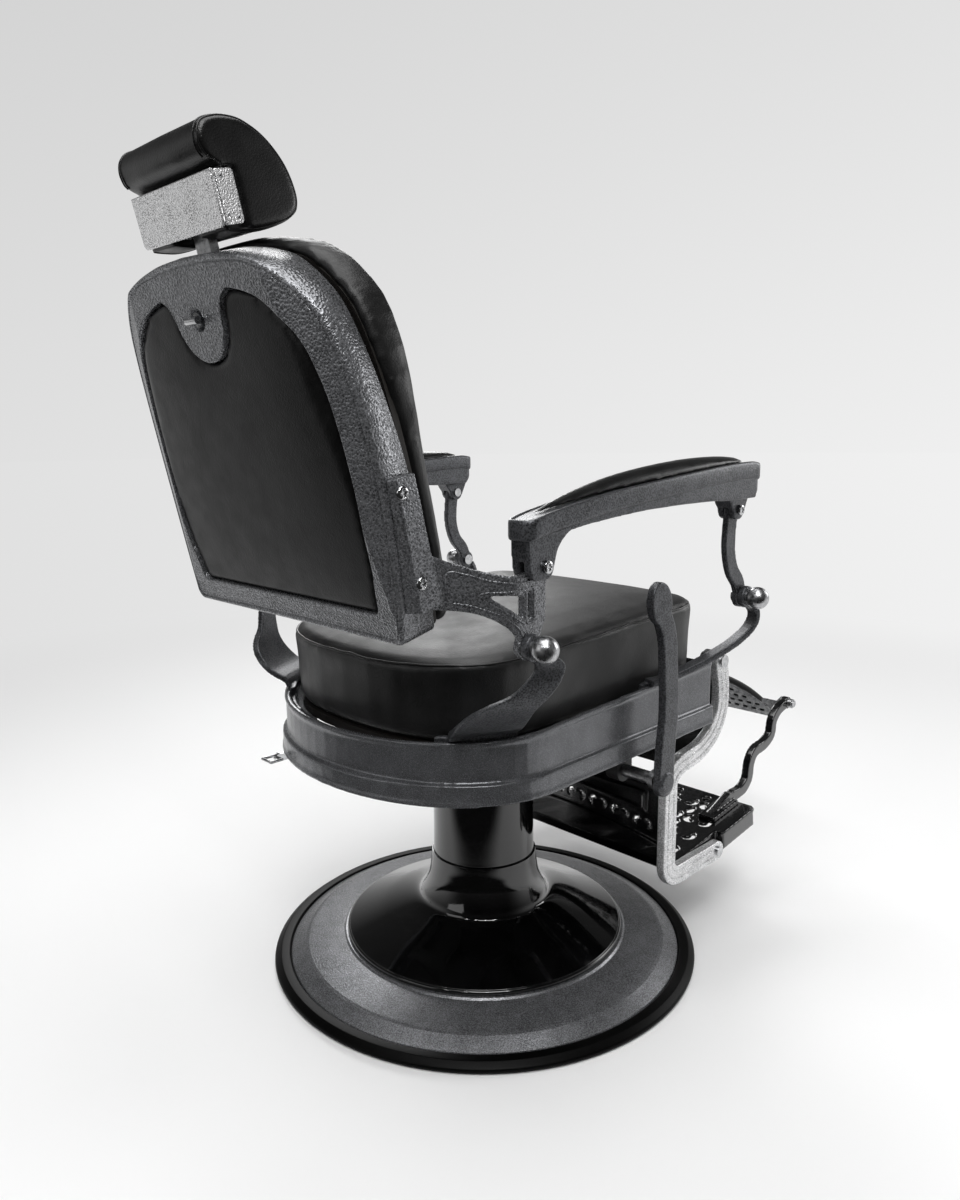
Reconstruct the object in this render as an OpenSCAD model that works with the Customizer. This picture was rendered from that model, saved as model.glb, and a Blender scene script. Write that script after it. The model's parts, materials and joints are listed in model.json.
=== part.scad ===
// Hydraulic barber chair: round pump base, swivelling seat, back that reclines on a four-bar arm
// linkage, leg rest with footplate and flip-over calf rest.
// Frame: origin on the floor under the ram's axis, +Z up, the sitter faces -Y, +X is the sitter's left.

/* [Base] */
// Radius of the base over its edge ring
base_r = 355; // [330:1:380]
// Height of the edge ring
edge_h = 15; // [12:0.5:20]
// Width of the edge ring outside the bevel
edge_w = 29; // [27:0.5:37]
// Width of the bevel of the base plate
bevel_w = 26; // [15:1:35]
// Height of the seat for the skirt cover on the base plate
skirt_seat_z = 38; // [34:0.5:42]
// Thickness of the base plate
base_t = 9; // [7:0.5:11]
// Radius of the skirt cover over its rim
skirt_r = 233; // [220:1:245]
// Radius of the column cover
column_r = 84; // [76:1:88]
// Height of the joint between skirt and column cover
collar_z = 168; // [160:1:190]
// Height of the top of the column cover
column_top = 318; // [300:1:322]
// Wall of both covers
cover_wall = 2.5; // [1.5:0.1:4]

/* [Hydraulics] */
// Radius of the pump body
pump_r = 56; // [50:1:62]
// Radius of the ram
ram_r = 30; // [26:0.5:33]
// Radial running clearance of the turning and sliding fits
run_gap = 0.05; // [0.02:0.01:0.09]
// Radius of the spigot that the seat swivels on
spigot_r = 22; // [18:0.5:24]
// Thickness of the thrust bearing ring
thrust_t = 4; // [3:0.5:6]
// Height of the seat hub's underside above the floor
hub_z = 330; // [328:1:336]

/* [Seat] */
// Half width of the seat band
band_half_w = 258; // [250:1:266]
// Distance of the band's front ends ahead of the ram
band_front = 277; // [260:1:285]
// Where the straight sides of the band turn into its round back
band_turn = 127; // [110:1:140]
// Reach of the band's round back behind the turn
band_back = 186; // [170:1:200]
// Wall of the band
band_wall = 7; // [5:0.5:9]
// Height of the band's upper edge above the floor, over the ram
band_top_z = 471; // [465:1:478]
// Height of the band's lower edge above the floor, over the ram
band_low_z = 376; // [372:1:382]
// Height of the flared foot of the band
band_step = 30; // [22:1:36]
// How far the flared foot stands out
band_flare = 7; // [4:0.5:9]
// Slope of the band's upper edge and of the cushion, in degrees
seat_slope = 2.8; // [1.5:0.1:3.5]
// Half width of the seat cushion
cushion_half_w = 240; // [230:1:242]
// Height of the cushion's top seam above the floor, over the ram
cushion_seam_z = 574; // [560:1:580]
// Crown of the cushion above its seam
cushion_crown = 15; // [8:1:26]
// Thickness of the seat board
board_t = 12; // [9:1:15]
// Height of the seat frame's underside
frame_z = 396; // [394:1:400]
// Height of the seat frame's tubes
tube_h = 40; // [30:1:42]

/* [Recline linkage] */
// Distance of the rear pivot behind the ram
pivot_y = 231; // [229:0.5:233]
// Height of the rear pivot
pivot_z = 606; // [604:0.5:608]
// Distance of the armrest's rear pin behind the ram
arm_pin_y = 210; // [208:0.5:212]
// Height of the armrest's rear pin
arm_pin_z = 702; // [700:0.5:704]
// Distance of the armrest's front pin ahead of the ram
arm_front_y = 226; // [224:0.5:228]
// Height of the armrest's front pin
arm_front_z = 741; // [739:0.5:743]
// Distance of the front pivot ahead of the ram
link_pivot_y = 261; // [259:0.5:263]
// Height of the front pivot
link_pivot_z = 603; // [601:0.5:605]
// Distance of the linkage's plates from the middle of the chair, to their middle
link_x = 313; // [311:0.5:315]
// Thickness of the linkage's plates
link_t = 10; // [8:0.5:11]
// Gap between neighbouring plates of the linkage
side_gap = 0.3; // [0.2:0.05:0.5]
// Radius of the pivot bolts
bolt_r = 6; // [5:0.25:7]
// Radius of the armrest pins
pin_r = 5; // [4:0.25:5.5]
// Radial slack of the front armrest pin in its link
open_slack = 2.1; // [2:0.1:2.4]
// Radius of the ball knobs
ball_r = 17.5; // [15:0.5:19]

/* [Back] */
// Lean of the back, in degrees from upright
back_lean = 13.8; // [12:0.1:15]
// Distance of the back's lower rear edge behind the ram
back_y = 361; // [358:1:366]
// Height of the back's lower rear edge
back_z = 615; // [613:1:620]
// Length of the back along its slope
back_len = 467; // [460:1:486]
// Half width of the back at its widest
back_half_w = 254; // [248:1:256]
// Depth of the back frame at its sides
frame_depth = 50; // [44:1:54]
// Width of the back frame's border
border = 36; // [30:1:40]
// Radius of the tongue at the top of the back frame
tongue_r = 52; // [44:1:56]
// Distance of the clamp key below the top of the back
key_drop = 71; // [65:1:79]
// Thickness of the back board
back_board_t = 8; // [6:0.5:10]
// Depth of the back cushion at its edge
back_pad_t = 27; // [24:1:34]
// Crown of the back cushion
back_crown = 18; // [10:1:26]

/* [Armrests] */
// Width of the armrest castings
arm_w = 54; // [48:1:58]
// Depth of the armrest castings
arm_depth = 38; // [34:1:40]
// Crown of the arm pads
arm_crown = 18; // [12:1:22]

/* [Headrest] */
// Width of the headrest post
post_w = 32; // [28:1:36]
// Thickness of the headrest post
post_t = 12; // [10:0.5:14]
// Half width of the headrest bracket
head_half_w = 97; // [92:1:98]
// Height of the headrest bracket
head_bracket_h = 60; // [54:1:64]
// Wall of the headrest bracket
head_wall = 4; // [3:0.5:5]
// Half width of the headrest pad
head_pad_half_w = 101; // [100:1:104]

/* [Leg rest] */
// Distance of the leg rest's hinge ahead of the ram
leg_hinge_y = 327; // [325:1:329]
// Height of the leg rest's hinge
leg_hinge_z = 474; // [472:1:478]
// Distance of the rails' outer faces from the middle
rail_x = 248; // [246:1:250]
// Thickness of the rails
rail_t = 15; // [12:1:16]
// Width of the rails
rail_w = 34; // [28:1:36]
// Distance of the footplate's hinge ahead of the ram
foot_hinge_y = 337; // [335:1:339]
// Height of the footplate's hinge
foot_hinge_z = 127; // [126:1:130]
// Slope of the footplate, in degrees
foot_slope = 8; // [4:0.5:10]
// Reach of the footplate ahead of its hinge
foot_reach = 132; // [120:1:140]
// Reach of the footplate behind its hinge
foot_heel = 108; // [95:1:112]
// Distance of the calf rest's axle ahead of the ram
calf_y = 652; // [648:1:656]
// Height of the calf rest's axle
calf_z = 321; // [318:1:326]
// Distance of the S-shaped arms from the middle, to their middle
calf_arm_x = 199; // [196:1:202]
// Bulge of the calf cushion
calf_bulge = 52; // [40:1:58]

/* [Lever] */
// Distance of the lever's shaft ahead of the ram
lever_y = 86; // [84:1:90]
// Height of the lever's shaft
lever_z = 340; // [338:1:344]
// Distance of the lever from the middle of the chair
lever_x = 300; // [296:1:304]
// Thickness of the lever's blade
lever_t = 13; // [10:1:15]
// Radius of the lever shaft
shaft_r = 10; // [8:0.5:11]

/* [Hidden] */
eps = 0.01;
LEFT = 1;
RIGHT = -1;
$fn = 48;

// ---------------------------------------------------------------- curves and helpers

// Catmull-Rom point between b and c
function knot(a, b, c, d, t) = 0.5 * (2 * b + (c - a) * t + (2 * a - 5 * b + 4 * c - d) * t * t
    + (3 * b - a - 3 * c + d) * t * t * t);

// Smooth open curve through the points p, n steps to a span
function smooth(p, n = 5) = let (m = len(p) - 1) concat(
    [for (i = [0:m - 1]) for (j = [0:n - 1])
        knot(p[max(i - 1, 0)], p[i], p[i + 1], p[min(i + 2, m)], j / n)], [p[m]]);

// Smooth closed outline through the points p
function smooth_loop(p, n = 5) = let (m = len(p))
    [for (i = [0:m - 1]) for (j = [0:n - 1])
        knot(p[(i + m - 1) % m], p[i], p[(i + 1) % m], p[(i + 2) % m], j / n)];

// Left-hand normal of a curve at point i
function normal_at(c, i) = let (d = c[min(i + 1, len(c) - 1)] - c[max(i - 1, 0)])
    [-d[1], d[0]] / norm(d);

function reversed(p) = [for (i = [len(p) - 1:-1:0]) p[i]];
function mirrored(p) = [for (q = reversed(p)) [-q[0], q[1]]];
function arc(c, r, a0, a1, n = 12) = [for (i = [0:n])
    let (a = a0 + (a1 - a0) * i / n) c + r * [cos(a), sin(a)]];

// Band of width w (tapering to w_end) along a curve
module ribbon(c, w, w_end) {
    m = len(c) - 1;
    e = w_end == undef ? w : w_end;
    polygon(concat(
        [for (i = [0:m]) c[i] + normal_at(c, i) * (w + (e - w) * i / m) / 2],
        [for (i = [m:-1:0]) c[i] - normal_at(c, i) * (w + (e - w) * i / m) / 2]));
}

// Extrude a (y, z) outline along X, from x to x + t
module along_x(x, t) translate([x, 0, 0]) rotate([90, 0, 90]) linear_extrude(t) children();

// Extrude an (x, z) outline along Y, from y to y + t
module along_y(y, t) translate([0, y + t, 0]) rotate([90, 0, 0]) linear_extrude(t) children();

// Round bar along X, centred on [y, z]
module bar_x(x, t, y, z, r) translate([x, y, z]) rotate([0, 90, 0]) cylinder(r = r, h = t);

// A part drawn on the left side, put on the side asked for
module on_side(side) if (side == LEFT) children(); else mirror([1, 0, 0]) children();
module both_sides() { children(); mirror([1, 0, 0]) children(); }

// Closed solid from rings of equal length, first and last ring capped by a fan
function fan(first, n, flip) = [for (i = [1:n - 2])
    flip ? [first, first + i + 1, first + i] : [first, first + i, first + i + 1]];
function skin(rings, n) = [for (k = [0:rings - 2]) for (i = [0:n - 1]) for (h = [0, 1])
    let (a = k * n + i, b = k * n + (i + 1) % n)
    h == 0 ? [a, b + n, b] : [a, a + n, b + n]];
module loft(rings) {
    n = len(rings[0]);
    k = len(rings);
    polyhedron(points = [for (r = rings) for (p = r) p],
        faces = concat(skin(k, n), fan(0, n, false), fan((k - 1) * n, n, true)), convexity = 6);
}

// ---------------------------------------------------------------- base and pump

ring_ledge_z = edge_h - 4;
bevel_r = base_r - edge_w;
plate_r = bevel_r + 1;
bevel_top_r = bevel_r - bevel_w;
bevel_top_z = edge_h + 9;
boss_r = pump_r + 36;
boss_z = skirt_seat_z + 6;
flange_r = pump_r + 30;
flange_t = 10;
spigot_plug_r = pump_r - 26;

module base_ring() {
    color("#101010") rotate_extrude($fn = 96)
        polygon(concat([[bevel_r - 14, 0], [base_r - 7, 0]],
            arc([base_r - 5, 5], 5, -90, 60, 6), arc([base_r - 12, edge_h - 4], 4, 60, 90, 3),
            [[bevel_r + 4, edge_h], [plate_r + 0.7, ring_ledge_z], [bevel_r - 14, ring_ledge_z]]));
}

module base_plate() {
    color("#55565a") difference() {
        union() {
            rotate_extrude($fn = 96) polygon([[plate_r, ring_ledge_z], [bevel_r, edge_h - 2],
                [bevel_top_r + 3, bevel_top_z], [bevel_top_r - 2, bevel_top_z + 1.4],
                [skirt_r + 6, skirt_seat_z - 2.4], [skirt_r + 3, skirt_seat_z],
                [skirt_r - 13, skirt_seat_z], [skirt_r - 15, skirt_seat_z - 2],
                [boss_r + 3, boss_z - 5], [boss_r, boss_z], [20, boss_z], [20, ring_ledge_z + 3],
                [boss_r - 4, ring_ledge_z + 3], [boss_r + 12, boss_z - 6 - base_t],
                [skirt_r, skirt_seat_z - 2 - base_t], [bevel_top_r - 4, bevel_top_z + 1.4 - base_t],
                [bevel_r - 12, ring_ledge_z]]);
            // stiffening ribs under the plate
            for (a = [22.5:45:360]) rotate([90, 0, a]) translate([0, 0, -4]) linear_extrude(8)
                polygon([[boss_r - 4, ring_ledge_z + 3], [bevel_top_r - 20, ring_ledge_z + 3],
                    [bevel_top_r - 20, bevel_top_z - 3], [skirt_r, skirt_seat_z - base_t],
                    [boss_r - 4, boss_z - 2 - base_t]]);
        }
        translate([0, 0, ring_ledge_z]) cylinder(r = spigot_plug_r, h = boss_z);
        for (a = [30:60:360]) rotate(a) translate([flange_r - 12, 0, boss_z - 20])
            cylinder(r = 5, h = 21);
    }
}

// Trumpet: rolled rim, shallow cone, then a hollow curve up to the collar
skirt_curve = smooth([[skirt_r - 5, skirt_seat_z + 6], [skirt_r * 0.76, skirt_seat_z + 24],
    [skirt_r * 0.5, skirt_seat_z + 45], [column_r + 18, skirt_seat_z + 62],
    [column_r + 8, skirt_seat_z + 84], [column_r + 3, skirt_seat_z + 108], [column_r + 1, collar_z]]);

module skirt_cover() {
    color("#08080a") rotate_extrude($fn = 96) union() {
        polygon(concat(skirt_curve, [for (i = [len(skirt_curve) - 1:-1:0])
            skirt_curve[i] + normal_at(skirt_curve, i) * cover_wall]));
        translate([skirt_r - 4, skirt_seat_z + 4]) circle(r = 4, $fn = 24);
    }
}

module column_cover() {
    color("#08080a") rotate_extrude($fn = 96) polygon([
        [column_r + 1 - cover_wall, collar_z], [column_r + 1, collar_z],
        [column_r, collar_z + 40], [column_r, column_top - 3], [column_r - 3, column_top],
        [column_r - 14, column_top], [column_r - 14, column_top - cover_wall],
        [column_r - cover_wall, column_top - cover_wall], [column_r - cover_wall, collar_z + 40]]);
}

bore_r = ram_r + run_gap;
pump_top = column_top - 26;
gland_h = 14;

module pump_body() {
    color("#3c3d40") difference() {
        rotate_extrude($fn = 72) polygon([[0, ring_ledge_z + 8], [spigot_plug_r - 0.1, ring_ledge_z + 8],
            [spigot_plug_r - 0.1, boss_z], [flange_r, boss_z], [flange_r, boss_z + flange_t],
            [pump_r + 3, boss_z + flange_t], [pump_r, boss_z + flange_t + 4], [pump_r, pump_top],
            [pump_r - 5, pump_top], [pump_r - 5, boss_z + 24], [ram_r + 8, boss_z + 24],
            [ram_r + 8, pump_top], [bore_r, pump_top], [bore_r, boss_z + 16], [0, boss_z + 16]]);
        for (a = [30:60:360]) rotate(a) translate([flange_r - 12, 0, boss_z - 1])
            cylinder(r = 5, h = flange_t + 2);
    }
}

module gland_nut() {
    color("#8a8c90") difference() {
        union() {
            translate([0, 0, pump_top]) cylinder(r = pump_r - 1, h = gland_h - 5, $fn = 72);
            translate([0, 0, pump_top + gland_h - 5]) cylinder(r = pump_r - 12, h = 5, $fn = 6);
        }
        translate([0, 0, pump_top - 1]) cylinder(r = bore_r, h = gland_h + 2);
    }
}

module flange_bolts() {
    color("silver") for (a = [30:60:360]) rotate(a) translate([flange_r - 12, 0, 0]) {
        translate([0, 0, boss_z + flange_t]) cylinder(r = 8, h = 6, $fn = 6);
        translate([0, 0, boss_z - 18]) cylinder(r = 4.9, h = flange_t + 18.5);
    }
}

ram_top = hub_z - thrust_t;
spigot_h = 40;

module ram() {
    color("silver") {
        translate([0, 0, boss_z + 26]) cylinder(r = ram_r, h = ram_top - boss_z - 26, $fn = 64);
        translate([0, 0, ram_top - 1]) cylinder(r = spigot_r, h = spigot_h + 1, $fn = 64);
    }
}

module thrust_bearing() {
    color("silver") translate([0, 0, ram_top]) difference() {
        cylinder(r = ram_r + 8, h = thrust_t - side_gap, $fn = 64);
        translate([0, 0, -1]) cylinder(r = spigot_r + 0.3, h = thrust_t + 2);
    }
}

// ---------------------------------------------------------------- seat

seat_rise = tan(seat_slope);

// U-shaped outline of the band, drawn in by inset: straight sides and a half-elliptic back
function band_line(inset, n = 32) = let (a = band_half_w - inset, b = band_back - inset) concat(
    [[a, -band_front]], [for (i = [0:n]) [a * cos(180 * i / n), band_turn + b * sin(180 * i / n)]],
    [[-a, -band_front]]);

module band_strip(out, inner) polygon(concat(band_line(out), reversed(band_line(inner))));

// Slab between two heights that both follow the slope of the seat
module sloped_slab(z0, z1, slope) {
    rise = tan(slope);
    reach = 420;
    along_x(-reach, 2 * reach) polygon([[-reach, z0 + rise * reach], [reach, z0 - rise * reach],
        [reach, z1 - rise * reach], [-reach, z1 + rise * reach]]);
}

low_slope = 1;
rim_t = 5;
rim_w = 16;
rim_z = band_top_z - 6;

module band_part(out, inner, z0, z1, s0, s1) intersection() {
    translate([0, 0, z0 - 40]) linear_extrude(z1 - z0 + 80) band_strip(out, inner);
    sloped_slab(z0, z0 + 200, s0);
    sloped_slab(z1 - 200, z1, s1);
}

module seat_band() {
    color("#55565a") {
        band_part(0, band_wall, band_low_z, band_top_z - 1, low_slope, seat_slope);
        // rolled upper lip
        band_part(-2, band_wall, band_top_z - 6, band_top_z, seat_slope, seat_slope);
        // inner rim that the brackets stand on
        band_part(2, rim_w, rim_z - rim_t, rim_z, seat_slope, seat_slope);
        // flared foot and its bead
        band_part(-band_flare, band_wall, band_low_z, band_low_z + band_step, low_slope, low_slope);
        band_part(-band_flare - 2, 0, band_low_z, band_low_z + 5, low_slope, low_slope);
    }
}

cushion_back = 284;
cushion_front = 300;
cushion_turn = 100;
corner_r = 62;

// D-shaped outline of the cushion: full round back, straight sides, round front corners
function cushion_line(inset) = let (a = cushion_half_w - inset, f = cushion_front - inset,
        b = cushion_back - cushion_turn - inset, r = max(corner_r - inset, 12), e = 0.8) concat(
    [for (i = [0:18]) [a * sign(cos(10 * i)) * pow(abs(cos(10 * i)), e),
        cushion_turn + b * pow(sin(10 * i), e)]],
    [for (i = [0:4]) [-a + r - r * cos(22.5 * i), -f + 12 + r - r * sin(22.5 * i)]],
    [[-a * 0.4, -f + 2], [0, -f], [a * 0.4, -f + 2]],
    [for (i = [4:-1:0]) [a - r + r * cos(22.5 * i), -f + 12 + r - r * sin(22.5 * i)]]);

function tilted(line, z, share) = [for (p = line) [p[0], p[1], z - share * seat_rise * p[1]]];

board_z = frame_z + tube_h;
cushion_low_z = board_z + board_t + 0.3;

module seat_cushion() {
    wall = cushion_seam_z - cushion_low_z;
    color("#141414") loft([
        tilted(cushion_line(16), cushion_low_z, 0),
        tilted(cushion_line(9), cushion_low_z + 0.08 * wall, 0),
        tilted(cushion_line(4), cushion_low_z + 0.3 * wall, 0.3),
        tilted(cushion_line(3), cushion_low_z + 0.62 * wall, 0.6),
        tilted(cushion_line(0), cushion_low_z + 0.92 * wall, 0.95),
        tilted(cushion_line(3), cushion_seam_z, 1),
        tilted(cushion_line(6), cushion_seam_z - 1.5, 1),
        tilted(cushion_line(14), cushion_seam_z + 0.3 * cushion_crown, 1),
        tilted(cushion_line(40), cushion_seam_z + 0.62 * cushion_crown, 1),
        tilted(cushion_line(90), cushion_seam_z + 0.86 * cushion_crown, 1),
        tilted(cushion_line(150), cushion_seam_z + 0.98 * cushion_crown, 1)]);
}

module seat_board() {
    color("#8a6a45") translate([0, 0, board_z]) linear_extrude(board_t)
        polygon(cushion_line(10));
}

rail_out = 228;
tube_w = 24;
tube_wall = 3;
cross_y = [-240, -50, 140];

module box_tube(w, l, h, wall) difference() {
    translate([0, 0, 0]) cube([w, l, h]);
    translate([wall, -1, wall]) cube([w - 2 * wall, l + 2, h - 2 * wall]);
}

ear_r = 16;
ear_x = 216;
hinge_bolt_r = 7;

module seat_frame() {
    color("#202124") difference() {
        union() {
            both_sides() {
                translate([rail_out - tube_w, -leg_hinge_y + 8, frame_z])
                    box_tube(tube_w, leg_hinge_y + 150, tube_h, tube_wall);
                // ear that carries the leg rest
                along_x(ear_x, rail_out - ear_x) union() {
                    translate([-leg_hinge_y, leg_hinge_z]) circle(r = ear_r);
                    polygon([[-leg_hinge_y - ear_r, leg_hinge_z], [-leg_hinge_y - ear_r + 6, frame_z + 20],
                        [-leg_hinge_y + 2, frame_z], [-leg_hinge_y + 8.5, frame_z],
                        [-leg_hinge_y + 8.5, board_z], [-leg_hinge_y + ear_r, leg_hinge_z]]);
                }
            }
            // outriggers that carry the band
            both_sides() for (y = [-180, 40]) translate([rail_out - 1, y, frame_z + 10])
                cube([band_half_w - band_wall - rail_out + 1, 40, 16]);
            for (y = cross_y) translate([-rail_out + tube_w - 1, y + 15, frame_z])
                rotate([0, 0, -90]) box_tube(30, 2 * (rail_out - tube_w + 1), tube_h, tube_wall);
        }
        both_sides() bar_x(ear_x - 1, rail_out - ear_x + 2, -leg_hinge_y, leg_hinge_z,
            hinge_bolt_r + 0.1);
    }
}

hub_r = 50;
hub_top = frame_z;

module seat_mount() {
    color("#202124") difference() {
        union() {
            translate([0, 0, hub_z]) cylinder(r = hub_r, h = 30);
            translate([0, 0, hub_z + 30]) cylinder(r1 = hub_r, r2 = hub_r + 26, h = hub_top - hub_z - 36);
            translate([0, 0, hub_top - 8]) linear_extrude(8) hull() {
                for (sx = [-1, 1]) for (y = [cross_y[0], cross_y[2]])
                    translate([sx * 84, y * 0.96]) circle(r = 18, $fn = 32);
            }
            // webs from the hub out to the corners of the plate
            for (sx = [-1, 1]) along_x(sx * 60 - 5, 10) polygon([[cross_y[0], hub_top - 6],
                [-40, hub_z + 22], [40, hub_z + 22], [cross_y[2], hub_top - 6]]);
        }
        translate([0, 0, hub_z - 1]) cylinder(r = spigot_r + run_gap, h = spigot_h);
    }
}

// ---------------------------------------------------------------- brackets of the linkage

plate_in = link_x - link_t / 2;
plate_out = link_x + link_t / 2;
boss_in = plate_out + side_gap;
boss_t = 11;
boss_out = boss_in + boss_t;
boss_radius = 17;
boss_mid = boss_in + boss_t / 2;
ball_x = boss_out + 15;
rear_turn = 30;

// Shape of the rear bracket, seen square to its web: a narrow neck under the pivot that spreads
// down to a long foot on the band's rim
module rear_web_outline() {
    d0 = 36;
    z0 = pivot_z;
    polygon(concat(
        smooth([[d0 - 14, z0 - 4], [d0 - 42, z0 - 24], [d0 - 41, z0 - 46], [d0 - 30, z0 - 68],
            [d0 - 12, z0 - 97], [d0 - 8, z0 - 150]], 4),
        smooth([[d0 + 84, z0 - 150], [d0 + 84, z0 - 118], [d0 + 72, z0 - 96], [d0 + 50, z0 - 80],
            [d0 + 21, z0 - 66], [d0 + 3, z0 - 46], [d0 - 6, z0 - 28], [d0 + 12, z0 - 4]], 4)));
}

// Space above the band's lip
module above_band() sloped_slab(band_top_z + 0.2, band_top_z + 300, seat_slope);

// The rear bracket is drawn in a frame turned by rear_turn about the vertical: x runs outwards
// from the band (p), y runs along the web to the rear (d)
module rear_bracket(side) {
    t = 9;
    p_top = boss_mid * cos(rear_turn) + pivot_y * sin(rear_turn);
    p_rim = 295;
    color("#55565a") on_side(side) difference() {
        union() {
            // curved web: a bent strip cut to its outline
            intersection() {
                rotate(rear_turn) intersection() {
                    along_y(-60, 220) ribbon(smooth([[p_top - 2, pivot_z - 4], [p_top - 14, pivot_z - 30],
                        [p_top - 19, pivot_z - 50], [p_top - 32, pivot_z - 78],
                        [p_top - 52, pivot_z - 102], [p_top - 76, pivot_z - 122],
                        [p_rim - 2, pivot_z - 136], [p_rim - 8, pivot_z - 150]], 4), t);
                    along_x(240, 200) rear_web_outline();
                }
                above_band();
            }
            // foot inside the lip, along the inner rim of the band
            intersection() {
                band_part(band_wall + 0.3, rim_w, rim_z, band_top_z + 6, seat_slope, seat_slope);
                translate([170, pivot_y - 60, 400]) cube([110, 88, 200]);
            }
            bar_x(boss_in, boss_t, pivot_y, pivot_z, boss_radius);
        }
        bar_x(boss_in - 1, boss_t + 2, pivot_y, pivot_z, bolt_r);
        // clears the foot of the back's post and the knob
        bar_x(boss_in - 30, 30, pivot_y, pivot_z, boss_radius + 2);
        bar_x(boss_out, 30, pivot_y, pivot_z, 13);
    }
}

front_turn = 21.4;

module front_bracket(side) {
    toe_x = band_half_w + 4;
    toe_y = 130;
    s_pivot = (boss_mid - toe_x) * sin(front_turn) + (link_pivot_y - toe_y) * cos(front_turn);
    color("#55565a") on_side(side) difference() {
        union() {
            intersection() {
                translate([toe_x, -toe_y, 0]) rotate([0, 0, -90 + front_turn])
                    translate([0, 11, 0]) rotate([90, 0, 0]) linear_extrude(22)
                        ribbon(smooth([[-24, band_top_z + 10], [0, band_top_z + 12], [31, band_top_z + 20],
                            [78, band_top_z + 35], [131, band_top_z + 58], [163, link_pivot_z - 50],
                            [169, link_pivot_z - 26], [s_pivot + 4, link_pivot_z - 4]], 4), 10);
                above_band();
            }
            intersection() {
                band_part(band_wall + 0.3, rim_w, rim_z, band_top_z + 4, seat_slope, seat_slope);
                translate([200, -160, 400]) cube([100, 64, 200]);
            }
            bar_x(boss_in, boss_t, -link_pivot_y, link_pivot_z, boss_radius);
        }
        bar_x(boss_in - 1, boss_t + 2, -link_pivot_y, link_pivot_z, bolt_r);
        // clears the foot of the link and the knob
        bar_x(boss_in - 30, 30, -link_pivot_y, link_pivot_z, boss_radius + 2);
        bar_x(boss_out, 30, -link_pivot_y, link_pivot_z, 13);
    }
}

pivots = [[pivot_y, pivot_z], [-link_pivot_y, link_pivot_z]];

module pivot_bolts() {
    color("silver") both_sides() for (p = pivots) {
        bar_x(plate_in - 2, ball_x - plate_in - 2, p[0], p[1], bolt_r - run_gap);
        bar_x(plate_in - 5, 5 - side_gap, p[0], p[1], bolt_r + 4);
    }
}

module ball_knobs() {
    color("#9a9ca0") both_sides() for (p = pivots) difference() {
        union() {
            translate([ball_x, p[0], p[1]]) sphere(r = ball_r);
            bar_x(boss_out, 8, p[0], p[1], 12);
        }
        bar_x(boss_out - 1, ball_x - boss_out + 1, p[0], p[1], bolt_r);
        bar_x(boss_out - 20, 20, p[0], p[1], ball_r);
    }
}

// ---------------------------------------------------------------- towel ring, lever

ring_x = 150;
ring_y = band_turn + (band_back + band_flare) * sqrt(1 - pow(ring_x / (band_half_w + band_flare), 2));
ring_z = band_low_z - tan(low_slope) * ring_y - 6;
ring_wire = 2.2;

module ring_lug() {
    color("silver") difference() {
        intersection() {
            along_x(ring_x - 3, 6) union() {
                translate([ring_y + 13, ring_z]) circle(r = 6);
                translate([ring_y - 16, ring_z - 6]) square([29, 20]);
            }
            union() {
                sloped_slab(ring_z - 40, band_low_z, low_slope);
                translate([ring_x - 9, ring_y + 10, ring_z - 9]) cube([18, 18, 18]);
            }
        }
        bar_x(ring_x - 4, 8, ring_y + 13, ring_z, ring_wire + 0.1);
    }
}

module towel_ring() {
    h = 20;
    w = 24;
    color("silver") translate([ring_x, ring_y + 13, ring_z]) {
        bar_x(-w / 2, w, 0, 0, ring_wire);
        bar_x(-w / 2, w, h, 0, ring_wire);
        for (x = [-w / 2, w / 2]) translate([x, 0, 0]) {
            rotate([-90, 0, 0]) cylinder(r = ring_wire, h = h);
            sphere(r = ring_wire);
            translate([0, h, 0]) sphere(r = ring_wire);
        }
    }
}

// Blade of the lever: an eye at the foot, a slim waist and a spade at the top
lever_spine = smooth([[-lever_y, lever_z - 4], [-lever_y - 2, lever_z + 50], [-lever_y - 8, lever_z + 110],
    [-lever_y - 4, lever_z + 180], [-lever_y + 2, lever_z + 228], [-lever_y + 18, lever_z + 262]], 5);

module pump_lever() {
    color("#55565a") difference() {
        union() {
            along_x(-lever_x - lever_t / 2, lever_t) union() {
                ribbon(lever_spine, 38, 32);
                translate([-lever_y, lever_z - 2]) circle(r = 20);
                translate([-lever_y + 22, lever_z + 276]) rotate(-14) scale([1, 1.35]) circle(r = 24);
            }
            bar_x(-lever_x - lever_t / 2 - 3, lever_t + 6, -lever_y, lever_z, 15);
        }
        bar_x(-lever_x - lever_t / 2 + 4, lever_t + 20, -lever_y, lever_z, shaft_r);
    }
}

hanger_x = rail_out - tube_w;

module lever_shaft() {
    color("silver") {
        bar_x(-lever_x - lever_t / 2 + 4 + eps, lever_x - box_x - 24, -lever_y, lever_z, shaft_r - 0.02);
        bar_x(-lever_x + lever_t / 2 + 4, 9, -lever_y, lever_z, shaft_r + 5);
    }
}

module shaft_hanger() {
    color("#202124") difference() {
        along_x(-hanger_x - tube_w, tube_w) union() {
            translate([-lever_y, lever_z]) circle(r = shaft_r + 8);
            translate([-lever_y - shaft_r - 8, lever_z]) square([2 * shaft_r + 16, frame_z - lever_z]);
        }
        bar_x(-hanger_x - tube_w - 1, tube_w + 2, -lever_y, lever_z, shaft_r + run_gap);
    }
}

box_x = 78;
box_w = 44;

module valve_box() {
    color("#202124") difference() {
        translate([-box_w - box_x, -lever_y - 22, hub_z - 8]) cube([box_w, 44, frame_z - hub_z]);
        bar_x(-box_w - box_x - 1, 31, -lever_y, lever_z, shaft_r + run_gap);
    }
}

// ---------------------------------------------------------------- back

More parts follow.
